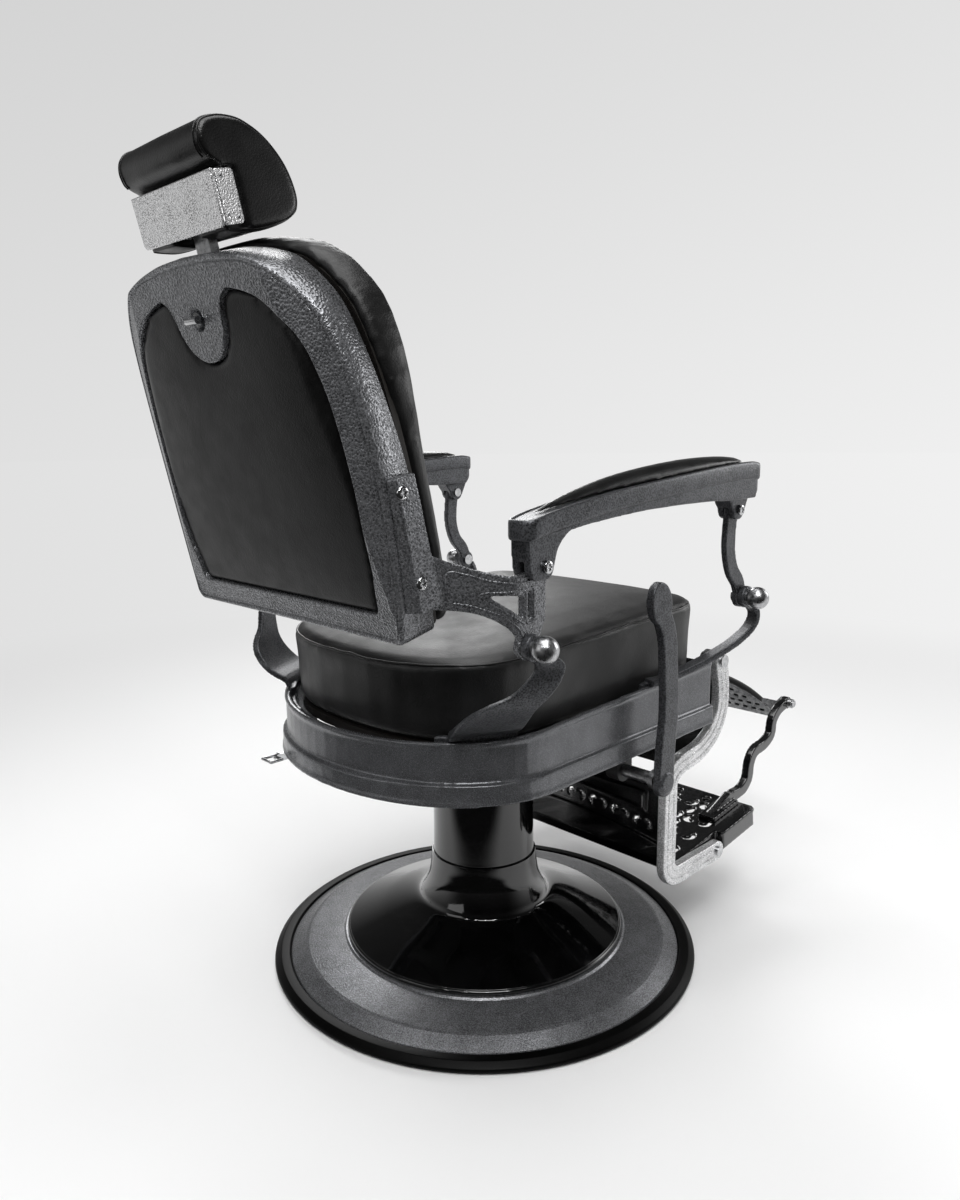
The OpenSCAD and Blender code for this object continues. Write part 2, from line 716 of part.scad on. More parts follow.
// The back's own frame: x across, y up the slope, z towards the rear, origin on the lower rear edge
module in_back() translate([0, back_y, back_z]) rotate([90 - back_lean, 0, 0]) mirror([0, 0, 1])
    children();

key_u = back_len - key_drop;

// Half outline of the back from the lower corner to the top, scaled to its length and width
function back_half(inset) = let (w = back_half_w - inset, l = back_len - inset, b = inset) concat(
    arc([w * 0.94 - 9, b + 12], 12, -90, -12, 4),
    smooth([[w * 0.975, b + 45], [w * 0.99, l * 0.22], [w, l * 0.42], [w * 0.975, l * 0.62],
        [w * 0.93, l * 0.745], [w * 0.85, l * 0.845], [w * 0.68, l * 0.93], [w * 0.52, l * 0.968],
        [w * 0.27, l * 0.993], [0, l]], 4));

module back_outline(inset = 0) {
    h = back_half(inset);
    polygon(concat(h, mirrored([for (i = [0:len(h) - 2]) h[i]])));
}

// Rear surface: flat across the bottom, crowned towards the top as if wrapped on a big cylinder
crown_rise = 1.98;
wrap_r = 654;
wrap_z = 46.6;
wrap_fall = 1.69;

module rear_skin(sink) intersection() {
    translate([-400, -100, -200]) cube([800, 700, 200 + 30]);
    rotate([crown_rise, 0, 0]) translate([-400, -120, -240 - sink]) cube([800, 740, 240]);
    translate([0, 0, wrap_z - wrap_r - sink]) rotate([-90 - wrap_fall, 0, 0])
        translate([0, 0, -150]) cylinder(r = wrap_r, h = 800, $fn = 96);
}

// Right edge of the notch for the tongue, from its widest point up over its shoulder
notch_edge = smooth([[tongue_r, key_u], [tongue_r + 5, key_u + 14], [tongue_r + 28, key_u + 30],
    [tongue_r + 62, key_u + 44]], 4);

module panel_outline(grow = 0) {
    difference() {
        offset(delta = grow) difference() {
            intersection() {
                back_outline(border);
                translate([-back_half_w, border]) square([2 * back_half_w, back_len]);
            }
            translate([0, key_u]) circle(r = tongue_r);
            polygon(concat(notch_edge, mirrored(notch_edge)));
        }
    }
}

slot_w = post_w + 6;
slot_t = post_t + 6;
slot_n = -24;
key_r = 5.5;
screw_u = [74, 181];
flange_x = back_half_w - 5;

module back_frame() {
    color("#55565a") in_back() difference() {
        intersection() {
            translate([0, 0, -frame_depth]) linear_extrude(frame_depth + 30) back_outline();
            rear_skin(0);
        }
        // opening that the rear panel fills, and the hollow behind the tongue
        translate([0, 0, -frame_depth - 1]) linear_extrude(frame_depth + 40) panel_outline();
        translate([0, 0, -frame_depth - 1]) linear_extrude(frame_depth - 34) back_outline(border);
        // socket slot for the headrest post
        translate([-slot_w / 2, key_u - 40, slot_n - slot_t / 2]) cube([slot_w, 200, slot_t]);
        translate([0, key_u, slot_n]) cylinder(r = key_r + run_gap, h = 60);
        translate([0, key_u, 6]) cylinder(r = 13, h = 40);
        both_sides() for (u = screw_u) translate([back_half_w - 30, u, -25]) rotate([0, 90, 0])
            cylinder(r = 4, h = 40);
    }
}

module post_socket() {
    color("silver") in_back() difference() {
        translate([-slot_w / 2 + 0.02, key_u - 39.98, slot_n - slot_t / 2 + 0.02])
            cube([slot_w - 0.04, back_len - key_u + 36, slot_t - 0.04]);
        translate([-post_w / 2 - 0.3, key_u - 41, slot_n - post_t / 2 - 0.3])
            cube([post_w + 0.6, 200, post_t + 0.6]);
        translate([0, key_u, slot_n]) cylinder(r = key_r + 0.5, h = 20);
    }
}

module back_panel() {
    color("#141414") in_back() intersection() {
        translate([0, 0, -30]) linear_extrude(60) panel_outline(-0.8);
        rear_skin(3);
    }
}

module back_board() {
    color("#8a6a45") in_back() translate([0, 0, -frame_depth - back_board_t - 0.02]) linear_extrude(back_board_t)
        back_outline(4);
}

function back_ring(inset, z, lift) = let (h = [for (p = back_half(inset)) p],
        full = concat(h, mirrored([for (i = [0:len(h) - 2]) h[i]])))
    [for (p = full) [p[0], p[1], z - lift]];

module back_cushion() {
    z0 = -frame_depth - back_board_t - 0.3;
    color("#141414") in_back() mirror([0, 0, 0]) loft([
        back_ring(8, z0, 0), back_ring(1, z0, 5), back_ring(2, z0, 0.45 * back_pad_t),
        back_ring(0, z0, 0.85 * back_pad_t), back_ring(4, z0, back_pad_t),
        back_ring(7, z0, back_pad_t - 1.5), back_ring(14, z0, back_pad_t + 0.3 * back_crown),
        back_ring(38, z0, back_pad_t + 0.65 * back_crown),
        back_ring(80, z0, back_pad_t + 0.9 * back_crown),
        back_ring(130, z0, back_pad_t + back_crown)]);
}

// Side bracket: seen from the side it runs from the flange on the back frame to the post, with a
// three-cornered window and a slot; seen from above it bends outwards
module side_bracket_outline() {
    difference() {
        union() {
            polygon(concat(
                smooth([[back_y - 18, back_z + 112], [pivot_y + 80, arm_pin_z + 10], [pivot_y + 45, arm_pin_z - 3],
                    [pivot_y + 17, arm_pin_z - 8], [arm_pin_y + 12, arm_pin_z - 2]], 4),
                [[arm_pin_y, arm_pin_z], [arm_pin_y - 11, arm_pin_z - 4]],
                [[arm_pin_y - 9, pivot_z + 30], [pivot_y - 15, pivot_z]],
                smooth([[pivot_y + 12, pivot_z - 6], [pivot_y + 15, pivot_z + 14], [pivot_y + 36, pivot_z + 34],
                    [pivot_y + 66, pivot_z + 47], [back_y - 26, pivot_z + 52]], 4)));
            translate([arm_pin_y, arm_pin_z]) circle(r = 13);
            translate([pivot_y, pivot_z]) circle(r = boss_radius);
        }
        translate([pivot_y + 9, arm_pin_z - 32]) polygon([[0, 0], [0, -28], [40, 2]]);
        translate([pivot_y - 5, arm_pin_z - 62]) square([6, 34]);
    }
}

module side_bracket(side) {
    color("#55565a") on_side(side) difference() {
        union() {
            // web that bends out from the frame to the post
            intersection() {
                along_x(200, 150) side_bracket_outline();
                translate([0, 0, pivot_z - 40]) linear_extrude(240)
                    ribbon(concat([[link_x, pivot_y - 60]], smooth([[link_x, pivot_y + 6], [link_x - 4, pivot_y + 24],
                        [link_x - 30, pivot_y + 62], [flange_x + 9, pivot_y + 98],
                        [flange_x + 8, back_y + 20]], 4)), link_t);
            }
            // flange against the side of the back frame
            in_back() intersection() {
                translate([flange_x - 6, 40, -frame_depth + 2]) cube([24, 158, 46]);
                rear_skin(4);
            }
        }
        in_back() translate([0, 0, -frame_depth - 1]) linear_extrude(frame_depth + 40)
            back_outline(-0.2);
        bar_x(plate_in - 1, link_t + 2, pivot_y, pivot_z, bolt_r);
        bar_x(plate_in - 1, link_t + 2, arm_pin_y, arm_pin_z, pin_r + run_gap);
        in_back() for (u = screw_u) translate([flange_x - 10, u, -25]) rotate([0, 90, 0])
            cylinder(r = 4.1, h = 40);
    }
}

module bracket_screws() {
    color("silver") both_sides() in_back() for (u = screw_u)
        translate([flange_x + 18, u, -25]) rotate([0, 90, 0]) {
            cylinder(r1 = 8, r2 = 6, h = 4);
            translate([0, 0, -38]) cylinder(r = 3.9, h = 39);
        }
}

// ---------------------------------------------------------------- headrest

tilt_u = back_len + 42;

module headrest_post() {
    color("silver") in_back() difference() {
        union() {
            translate([-post_w / 2, key_u - 30, slot_n - post_t / 2])
                cube([post_w, tilt_u - key_u + 30, post_t]);
            translate([-post_w / 2, tilt_u, slot_n]) rotate([0, 90, 0]) cylinder(r = 9, h = post_w);
        }
        translate([-post_w / 2 - 1, tilt_u, slot_n]) rotate([0, 90, 0])
            cylinder(r = 4 + run_gap, h = post_w + 2);
    }
}

module headrest_pin() {
    color("silver") in_back() translate([-post_w / 2 - 12, tilt_u, slot_n]) rotate([0, 90, 0])
        cylinder(r = 4, h = post_w + 24);
}

// Frame of the headrest: origin at the middle of the bracket's lower rear edge
head_u = back_len + 19;
head_n = 5.5;
module in_head() in_back() translate([0, head_u, head_n]) children();

module headrest_bracket() {
    color("#6a6b6f") difference() {
        union() {
            in_head() {
                translate([-head_half_w, 0, -head_wall]) cube([2 * head_half_w, head_bracket_h, head_wall]);
                both_sides() translate([head_half_w - head_wall, 0, -28]) cube([head_wall, head_bracket_h, 28]);
            }
            // two cheeks that carry the hinge pin
            in_back() both_sides() translate([post_w / 2 + side_gap, head_u + 1, slot_n - 8])
                cube([6, 38, head_n - slot_n + 5]);
        }
        in_back() translate([-post_w / 2 - 20, tilt_u, slot_n]) rotate([0, 90, 0])
            cylinder(r = 4.02, h = post_w + 40);
    }
}

// Section of the pad, x towards the sitter and y up the slope: round front, lip over the bracket
head_section = smooth([[5, -3], [36, -9], [74, -5], [97, 3], [105, 20], [98, 55], [79, 86], [54, 106],
    [30, 113], [6, 111], [-5, 100], [-7, 86], [-2, 66]], 3);

module headrest_pad() {
    w = head_pad_half_w;
    n0 = head_wall + 0.6;
    function ring(x, s) = [for (p = concat(head_section, [[n0, 64]]))
        [x, 52 + (p[1] - 52) * s, -(max(p[0], n0 - (p[1] > 63 ? 14 : 0)) * s + 42 * (1 - s))]];
    color("#141414") in_head() difference() {
        loft([ring(-w, 0.9), ring(-w + 4, 0.985), ring(-w + 9, 1), ring(0, 1.01), ring(w - 9, 1),
            ring(w - 4, 0.985), ring(w, 0.9)]);
        // pocket for the bracket's side plates and the hinge
        both_sides() translate([head_half_w - head_wall - 0.5, -10, -29]) cube([30, head_bracket_h + 10.5, 40]);
        translate([-post_w / 2 - 14, -20, -60]) cube([post_w + 28, 62, 70]);
    }
}

module clamp_key() {
    stem_n = slot_n + post_t / 2 + 0.5;
    color("silver") in_back() translate([0, key_u, 0]) {
        translate([0, 0, stem_n]) cylinder(r = key_r, h = 24 - stem_n);
        translate([0, 0, 7]) cylinder(r = 9, h = 8);
        translate([0, 0, 21]) rotate([0, 90, 0]) translate([0, 0, -13]) cylinder(r = 4.5, h = 26);
    }
}

// ---------------------------------------------------------------- armrests and links

arm_mid = link_x + 3;
clevis_gap = link_t + 2 * side_gap;
cheek_t = 9;
arm_rear_y = arm_pin_y + 34;
arm_end_y = arm_front_y + 31;

// Top line of the casting, from its rear end to its front end
arm_top = smooth([[arm_rear_y, arm_pin_z + 57], [arm_rear_y - 40, arm_pin_z + 66],
    [90, arm_front_z + 45], [-40, arm_front_z + 58], [-150, arm_front_z + 67],
    [-arm_front_y, arm_front_z + 71], [-arm_end_y, arm_front_z + 68]], 4);

module arm_rail_outline() {
    polygon(concat(arm_top, [[-arm_end_y - 3, arm_front_z + 62], [-arm_end_y - 2, arm_front_z + 34]],
        smooth([[-arm_end_y + 12, arm_front_z + 18], [-170, arm_front_z + 17], [-131, arm_front_z + 19],
            [-40, arm_front_z + 19], [46, arm_front_z + 16], [138, arm_front_z + 8],
            [180, arm_front_z + 2]], 4),
        [[arm_rear_y + 1, arm_front_z + 2], [arm_rear_y + 3, arm_pin_z + 52]]));
}

// Clevis feet: each sweeps down from the rail to a round end about its pin
module rear_foot_outline() {
    polygon(concat(
        [[arm_rear_y, arm_pin_z + 50], [arm_rear_y - 4, arm_pin_z - 2]],
        arc([arm_pin_y + 14, arm_pin_z - 1], 15, -5, -90, 5), arc([arm_pin_y, arm_pin_z - 1], 15, -90, -170, 6),
        smooth([[arm_pin_y - 17, arm_pin_z + 4], [arm_pin_y - 24, arm_pin_z + 22],
            [arm_pin_y - 42, arm_pin_z + 38], [arm_pin_y - 72, arm_pin_z + 50]], 4)));
}

module front_foot_outline() {
    y = -arm_front_y;
    z = arm_front_z;
    polygon(concat(
        smooth([[y + 60, z + 34], [y + 34, z + 22], [y + 20, z + 6]], 4),
        arc([y, z], 15, 0, -160, 8),
        smooth([[y - 17, z], [y - 26, z + 18], [y - 36, z + 36]], 4)));
}

// Space swept by the plate in the clevis: round the pin, then down and forwards
module clevis_slot(y, z, a0, a1) {
    translate([y, z]) circle(r = 16.6);
    translate([y, z]) polygon(concat([[0, 0]], arc([0, 0], 60, a0, a1, 6)));
    translate([y, z]) rotate(a0) translate([0, -15.5]) square([60, 31]);
    translate([y, z]) rotate(a1) translate([0, -15.5]) square([60, 31]);
}

module armrest(side) {
    hw = arm_w / 2;
    color("#55565a") on_side(side) difference() {
        union() {
            intersection() {
                along_x(arm_mid - hw, arm_w) arm_rail_outline();
                // plan of the rail: slim at the rear, full at the front
                translate([arm_mid, 0, arm_pin_z]) linear_extrude(200) polygon(concat(
                    arc([0, arm_rear_y - 14], 17, 20, 160, 6),
                    smooth([[-20, 190], [-hw + 3, 90], [-hw, -40], [-hw + 1, -180]], 4),
                    arc([-hw + 12, -arm_end_y + 9], 11, 180, 270, 4),
                    arc([hw - 12, -arm_end_y + 9], 11, 270, 360, 4),
                    smooth([[hw - 1, -180], [hw, -40], [hw - 3, 90], [20, 190]], 4)));
            }
            along_x(link_x - clevis_gap / 2 - cheek_t, clevis_gap + 2 * cheek_t) {
                rear_foot_outline();
                front_foot_outline();
            }
        }
        along_x(link_x - clevis_gap / 2, clevis_gap) {
            clevis_slot(arm_pin_y, arm_pin_z, -74, -125);
            translate([arm_pin_y - 4, arm_pin_z - 40]) square([60, 48]);
            clevis_slot(-arm_front_y, arm_front_z, -96, -148);
        }
        for (p = [[arm_pin_y, arm_pin_z], [-arm_front_y, arm_front_z]])
            bar_x(link_x - 40, 80, p[0], p[1], pin_r);
    }
}

pad_rear = 226;
pad_front = 240;
pad_steps = 20;
function arm_z(y) = lookup(-y, [for (p = arm_top) [-p[0], p[1]]]);
// Half width of the arm pad at a station from 0 (rear) to 1 (front)
function pad_half(t) = (arm_w / 2 - 4) * pow(sin(min(t * 1.25, 1) * 90), 0.62) * pow(min((1 - t) * 9, 1), 0.4);

module arm_pad(side) {
    function row(t, i) = let (y = pad_rear - t * (pad_rear + pad_front), w = max(pad_half(t), 3))
        [for (k = [0:8]) let (a = 180 * k / 8)
            [arm_mid - w * cos(a), y, arm_z(y) + 0.5 + arm_crown * pow(sin(180 * t), 0.5) * sin(a)]];
    color("#141414") on_side(side)
        loft([for (i = [0:pad_steps]) row(0.012 + 0.976 * i / pad_steps, i)]);
}

module arm_pins(side) {
    span = clevis_gap + 2 * cheek_t;
    color("silver") on_side(side)
        for (p = [[arm_pin_y, arm_pin_z], [-arm_front_y, arm_front_z]]) {
            bar_x(link_x - span / 2 - 1, span + 2, p[0], p[1], pin_r - eps);
            bar_x(link_x + span / 2 + eps, 4, p[0], p[1], pin_r + 3);
            bar_x(link_x - span / 2 - 4 - eps, 4, p[0], p[1], pin_r + 3);
        }
}

module front_link(side) {
    y3 = -arm_front_y;
    y4 = -link_pivot_y;
    color("#55565a") on_side(side) difference() {
        union() {
            along_x(plate_in, link_t) ribbon(smooth([[y3, arm_front_z - 3], [y3 + 4, arm_front_z - 32],
                [y3 + 4, arm_front_z - 62], [y3 - 6, arm_front_z - 92], [y4 + 10, link_pivot_z + 24],
                [y4 + 1, link_pivot_z + 3]], 5), 27, 24);
            bar_x(plate_in, link_t, y3, arm_front_z, 14);
            bar_x(plate_in, link_t, y4, link_pivot_z, boss_radius);
        }
        bar_x(plate_in - 1, link_t + 2, y4, link_pivot_z, bolt_r);
        bar_x(plate_in - 1, link_t + 2, y3, arm_front_z, pin_r + open_slack);
    }
}

// ---------------------------------------------------------------- leg rest

rail_in = rail_x - rail_t;
heel_y = 187;

// Middle line of a rail: hinge, hook under the seat's front, leg, and the turned-up foot
rail_spine = concat(
    smooth([[-leg_hinge_y, leg_hinge_z], [-leg_hinge_y - 9, leg_hinge_z - 46],
        [-leg_hinge_y - 7, leg_hinge_z - 88], [-leg_hinge_y + 16, leg_hinge_z - 124],
        [-leg_hinge_y + 58, leg_hinge_z - 146], [-heel_y - 28, leg_hinge_z - 156],
        [-heel_y - 4, leg_hinge_z - 174], [-heel_y, leg_hinge_z - 200]], 5),
    arc([-heel_y - 28, foot_hinge_z + 26], 28, 0, -90, 7),
    [[-foot_hinge_y, foot_hinge_z]]);

module rail(side) {
    color("#55565a") on_side(side) difference() {
        union() {
            along_x(rail_in, rail_t - 2) ribbon(rail_spine, rail_w);
            // flutes: two raised beads along the outer face
            along_x(rail_x - 2 - eps, 2 + eps) union() {
                ribbon(rail_spine, rail_w * 0.28);
                for (s = [-1, 1]) ribbon([for (i = [0:len(rail_spine) - 1])
                    rail_spine[i] + normal_at(rail_spine, i) * s * rail_w * 0.37], rail_w * 0.24);
            }
            bar_x(rail_in, rail_t, -leg_hinge_y, leg_hinge_z, rail_w / 2);
            bar_x(rail_in, rail_t, -foot_hinge_y, foot_hinge_z, rail_w / 2);
        }
        bar_x(rail_in - 1, rail_t + 2, -leg_hinge_y, leg_hinge_z, hinge_bolt_r + run_gap);
        bar_x(rail_in - 1, rail_t + 2, -foot_hinge_y, foot_hinge_z, hinge_bolt_r);
    }
}

module leg_hinge_bolts() {
    color("silver") both_sides() {
        bar_x(ear_x - 2, rail_x - ear_x + 3, -leg_hinge_y, leg_hinge_z, hinge_bolt_r);
        bar_x(rail_x + side_gap, 5, -leg_hinge_y, leg_hinge_z, hinge_bolt_r + 4);
        bar_x(ear_x - 6, 6 - eps, -leg_hinge_y, leg_hinge_z, hinge_bolt_r + 4);
    }
}

module leg_apron() {
    sheet = 3;
    color("#0c0c0e") intersection() {
        along_x(-rail_in, 2 * rail_in) ribbon(smooth([[-leg_hinge_y - 11, leg_hinge_z - 10],
            [-leg_hinge_y - 19, leg_hinge_z - 50], [-leg_hinge_y - 16, leg_hinge_z - 94],
            [-leg_hinge_y + 12, leg_hinge_z - 132], [-leg_hinge_y + 56, leg_hinge_z - 154],
            [-heel_y - 34, leg_hinge_z - 164]], 5), sheet);
        along_y(-500, 400) polygon([[-rail_in, leg_hinge_z - 200], [rail_in, leg_hinge_z - 200],
            [rail_in, leg_hinge_z - 32], [ear_x - 4, leg_hinge_z - 28], [ear_x - 4, leg_hinge_z],
            [-ear_x + 4, leg_hinge_z], [-ear_x + 4, leg_hinge_z - 28], [-rail_in, leg_hinge_z - 32]]);
    }
}

panel_low = 157;
panel_top = 282;
panel_t = 10;
// Arched lines of the panel: height at x between its ends and its middle
function arch(x, end, rise) = end + rise * (1 - pow(x / rail_in, 2));
function arch_line(end, rise, w, n = 12) = [for (i = [0:n]) let (x = -w + 2 * w * i / n) [x, arch(x, end, rise)]];

// One pair of facing scrolls with a round eye between them
module scroll_pair(s) for (m = [0, 1]) mirror([m, 0]) translate([s * 0.62, 0]) {
    difference() {
        circle(r = s * 0.52, $fn = 24);
        translate([-s * 0.2, -s * 0.14]) circle(r = s * 0.38, $fn = 24);
        translate([-s * 0.9, -s * 0.1]) square([s * 0.8, s * 0.22]);
    }
}

module leg_panel() {
    y = -heel_y - 4;
    cells = 9;
    pitch = 2 * (rail_in - 16) / cells;
    color("#17171a") union() {
        along_y(y, panel_t - 4) difference() {
            polygon(concat([[-rail_in, panel_low], [rail_in, panel_low], [rail_in, panel_top],
                [-rail_in, panel_top]]));
            for (i = [0:cells - 1]) let (x = -rail_in + 16 + (i + 0.5) * pitch)
                translate([x, arch(x, 206, 18)]) scroll_pair(17);
        }
        // solid lower band, and the raised border of the plain field above the scrolls
        along_y(y + panel_t - 4 - eps, 4) polygon(concat([[-rail_in, panel_low], [rail_in, panel_low]],
            reversed(arch_line(183, 20, rail_in))));
        along_y(y + panel_t - 4 - eps, 3) difference() {
            polygon(concat(arch_line(227, 17, rail_in - 34), [[rail_in - 34, panel_top - 14],
                [-rail_in + 34, panel_top - 14]]));
            polygon(concat(arch_line(232, 17, rail_in - 40), [[rail_in - 40, panel_top - 19],
                [-rail_in + 40, panel_top - 19]]));
        }
    }
}

module leg_cross_bar() {
    color("#17171a") bar_x(-rail_in, 2 * rail_in, -heel_y, panel_top + 14, 8);
}

// ---------------------------------------------------------------- footplate

// Frame of the footplate: origin on its hinge, y pointing back, sloping with the plate
module in_foot() translate([0, -foot_hinge_y, foot_hinge_z]) rotate([-foot_slope, 0, 0]) children();
plate_h = 25;
plate_t = 6;
notch_y = 19;
foot_in = rail_in - 1;

module footplate_outline() polygon(concat(
    arc([foot_in - 6, foot_heel - 6], 6, 0, 90, 3), arc([-foot_in + 6, foot_heel - 6], 6, 90, 180, 3),
    [[-foot_in, -notch_y], [-rail_x + 1, -notch_y]],
    arc([-rail_x + 9, -foot_reach + 8], 8, 180, 270, 3), arc([rail_x - 9, -foot_reach + 8], 8, 270, 360, 3),
    [[rail_x - 1, -notch_y], [foot_in, -notch_y]]));

// Openwork of the footplate: facing scrolls in rows, divided by slim leaves
module footplate_openwork() {
    for (row = [0:3]) let (y = foot_heel - 34 - row * 53) for (i = [-3:3]) {
        translate([i * 62, y]) scroll_pair(24);
        if (i < 3) translate([i * 62 + 31, y - 26]) intersection() {
            translate([9, 0]) circle(r = 15, $fn = 24);
            translate([-9, 0]) circle(r = 15, $fn = 24);
        }
    }
}

module footplate() {
    color("#101012") in_foot() difference() {
        union() {
            translate([0, 0, plate_h - plate_t]) linear_extrude(plate_t) difference() {
                footplate_outline();
                intersection() {
                    footplate_openwork();
                    translate([-foot_in + 16, -foot_reach + 14])
                        square([2 * foot_in - 32, foot_heel + foot_reach - 28]);
                }
            }
            // side and front rims
            both_sides() {
                translate([rail_x - 7, -foot_reach + 8, -8]) cube([6, foot_reach - notch_y - 8, plate_h + 4]);
                translate([foot_in - 6, -notch_y, -8]) cube([6, notch_y + foot_heel - 8, plate_h + 4]);
                translate([foot_in - 6, -notch_y - 6, -8]) cube([rail_x - foot_in + 5, 6, plate_h + 4]);
                along_x(foot_in - 12, 12) circle(r = 17);
            }
            translate([-rail_x + 9, -foot_reach, -4]) cube([2 * rail_x - 18, 6, plate_h]);
            translate([-foot_in + 6, foot_heel - 6, 2]) cube([2 * foot_in - 12, 6, plate_h - 6]);
        }
        both_sides() bar_x(foot_in - 20, 30, 0, 0, hinge_bolt_r + run_gap);
    }
}

module footplate_bolts() {
    color("silver") both_sides() {
        bar_x(foot_in - 16, rail_x - foot_in + 17, -foot_hinge_y, foot_hinge_z, hinge_bolt_r - eps);
        bar_x(rail_x + eps, 4, -foot_hinge_y, foot_hinge_z, hinge_bolt_r + 2);
    }
}

// S-shaped arm from its foot on the plate up to the axle of the calf rest
calf_arm_t = 14;
calf_spine = smooth([[-calf_y + 196, calf_z - 140], [-calf_y + 166, calf_z - 139], [-calf_y + 140, calf_z - 122],
    [-calf_y + 134, calf_z - 92], [-calf_y + 118, calf_z - 72], [-calf_y + 84, calf_z - 66],
    [-calf_y + 58, calf_z - 52], [-calf_y + 52, calf_z - 26], [-calf_y + 32, calf_z - 8],
    [-calf_y, calf_z]], 4);

module calf_arm(side) {
    color("#101012") on_side(side) difference() {
        union() {
            along_x(calf_arm_x - calf_arm_t / 2, calf_arm_t) ribbon(calf_spine, 22, 18);
            bar_x(calf_arm_x - calf_arm_t / 2, calf_arm_t, -calf_y, calf_z, 12);
            // foot that is screwed to the plate
            in_foot() translate([calf_arm_x - 17, -foot_reach + 8, plate_h]) cube([34, 84, 9]);
            in_foot() along_x(calf_arm_x - calf_arm_t / 2, calf_arm_t)
                polygon([[-foot_reach + 84, plate_h + 8], [-foot_reach + 20, plate_h + 24],
                    [-foot_reach - 14, plate_h + 16], [-foot_reach + 8, plate_h + 8]]);
        }
        bar_x(calf_arm_x - 20, 40, -calf_y, calf_z, hinge_bolt_r + run_gap);
        in_foot() translate([calf_arm_x - 40, -foot_reach - 60, plate_h - 60]) cube([80, 300, 60]);
    }
}

// ---------------------------------------------------------------- calf rest

calf_half_w = calf_arm_x - calf_arm_t / 2 - 5;
calf_lean = 16;
// Frame of the calf rest: origin on its axle, y up the plate, z towards the bulge
module in_calf() translate([0, -calf_y, calf_z]) rotate([90 - calf_lean, 0, 0]) children();

calf_low = -33;
function calf_top(x) = 34 - 62 * pow(abs(x) / calf_half_w, 2.2);

module calf_outline() polygon(concat(
    arc([-calf_half_w + 6, calf_low + 6], 6, 180, 270, 3), arc([calf_half_w - 6, calf_low + 6], 6, 270, 360, 3),
    [for (i = [0:20]) let (x = calf_half_w * (1 - i / 10)) [x, max(calf_top(x), calf_low + 10)]]));

module calf_plate() {
    color("silver") in_calf() translate([0, 0, -12]) linear_extrude(2.5) difference() {
        calf_outline();
        for (i = [-8:8]) for (j = [-2:2]) let (x = i * 19 + (j % 2 == 0 ? 0 : 9.5), y = j * 11)
            if (y < calf_top(x) - 10 && y > calf_low + 7) translate([x, y]) hull() {
                translate([-3, 0]) circle(r = 2.6, $fn = 12);
                translate([3, 0]) circle(r = 2.6, $fn = 12);
            }
    }
}

module calf_cushion() {
    n = 24;
    function top(x) = max(calf_top(x), calf_low + 10);
    // one section across the cushion: flat on the plate, half-round towards the leg
    function section(x) = let (h = (top(x) - calf_low) / 2, c = (top(x) + calf_low) / 2,
            b = calf_bulge * pow(max(1 - pow(abs(x) / (calf_half_w + 2), 4), 0.02), 0.6) * (0.35 + 0.65 * h / 34))
        [for (k = [0:12]) let (a = 180 * k / 12) [x, c + h * cos(a), -9.2 + b * sin(a)]];
    color("#141414") in_calf() loft([for (i = [0:n]) section(-calf_half_w + 2 * calf_half_w * i / n)]);
}

module calf_stubs() {
    color("silver") both_sides() union() {
        bar_x(calf_half_w + 0.3, calf_arm_t + 16, -calf_y, calf_z, hinge_bolt_r);
        bar_x(calf_arm_x + calf_arm_t / 2 + side_gap, 8, -calf_y, calf_z, hinge_bolt_r + 2);
        in_calf() translate([calf_half_w - 30, -8, -17]) cube([34.5, 16, 4.5]);
        in_calf() translate([calf_half_w + 0.3, -8, -17]) cube([4.2, 16, 24]);
    }
}

// ---------------------------------------------------------------- the chair

base_ring();
base_plate();
skirt_cover();
column_cover();
pump_body();
gland_nut();
flange_bolts();
ram();
thrust_bearing();
seat_mount();
seat_frame();
seat_board();
seat_cushion();
seat_band();
rear_bracket(LEFT);  // rear_bracket_left
rear_bracket(RIGHT);  // rear_bracket_right
front_bracket(LEFT);  // front_bracket_left
front_bracket(RIGHT);  // front_bracket_right
pivot_bolts();
ball_knobs();
ring_lug();
valve_box();
shaft_hanger();
back_frame();
back_board();
back_panel();
back_cushion();
side_bracket(LEFT);  // side_bracket_left
side_bracket(RIGHT);  // side_bracket_right
bracket_screws();
post_socket();
headrest_post();
headrest_bracket();
headrest_pad();
headrest_pin();
clamp_key();
armrest(LEFT);  // armrest_left
armrest(RIGHT);  // armrest_right
arm_pad(LEFT);  // arm_pad_left
arm_pad(RIGHT);  // arm_pad_right
arm_pins(LEFT);  // arm_pins_left
arm_pins(RIGHT);  // arm_pins_right
front_link(LEFT);  // front_link_left
front_link(RIGHT);  // front_link_right
rail(LEFT);  // rail_left
rail(RIGHT);  // rail_right
leg_apron();
leg_panel();
leg_cross_bar();
leg_hinge_bolts();
footplate();
footplate_bolts();
calf_arm(LEFT);  // calf_arm_left
calf_arm(RIGHT);  // calf_arm_right
calf_plate();
calf_cushion();
calf_stubs();
pump_lever();
lever_shaft();
towel_ring();
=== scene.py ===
"""Looks of a hydraulic barber chair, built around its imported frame.

Lengths are in metres in the frame of the solids: +Z up along the ram, the sitter faces -Y, and the
sitter's right is -X. Sizes written with MM are in millimetres."""
import json
import math

import bmesh
import bpy
import numpy as np
from mathutils import Matrix, Vector


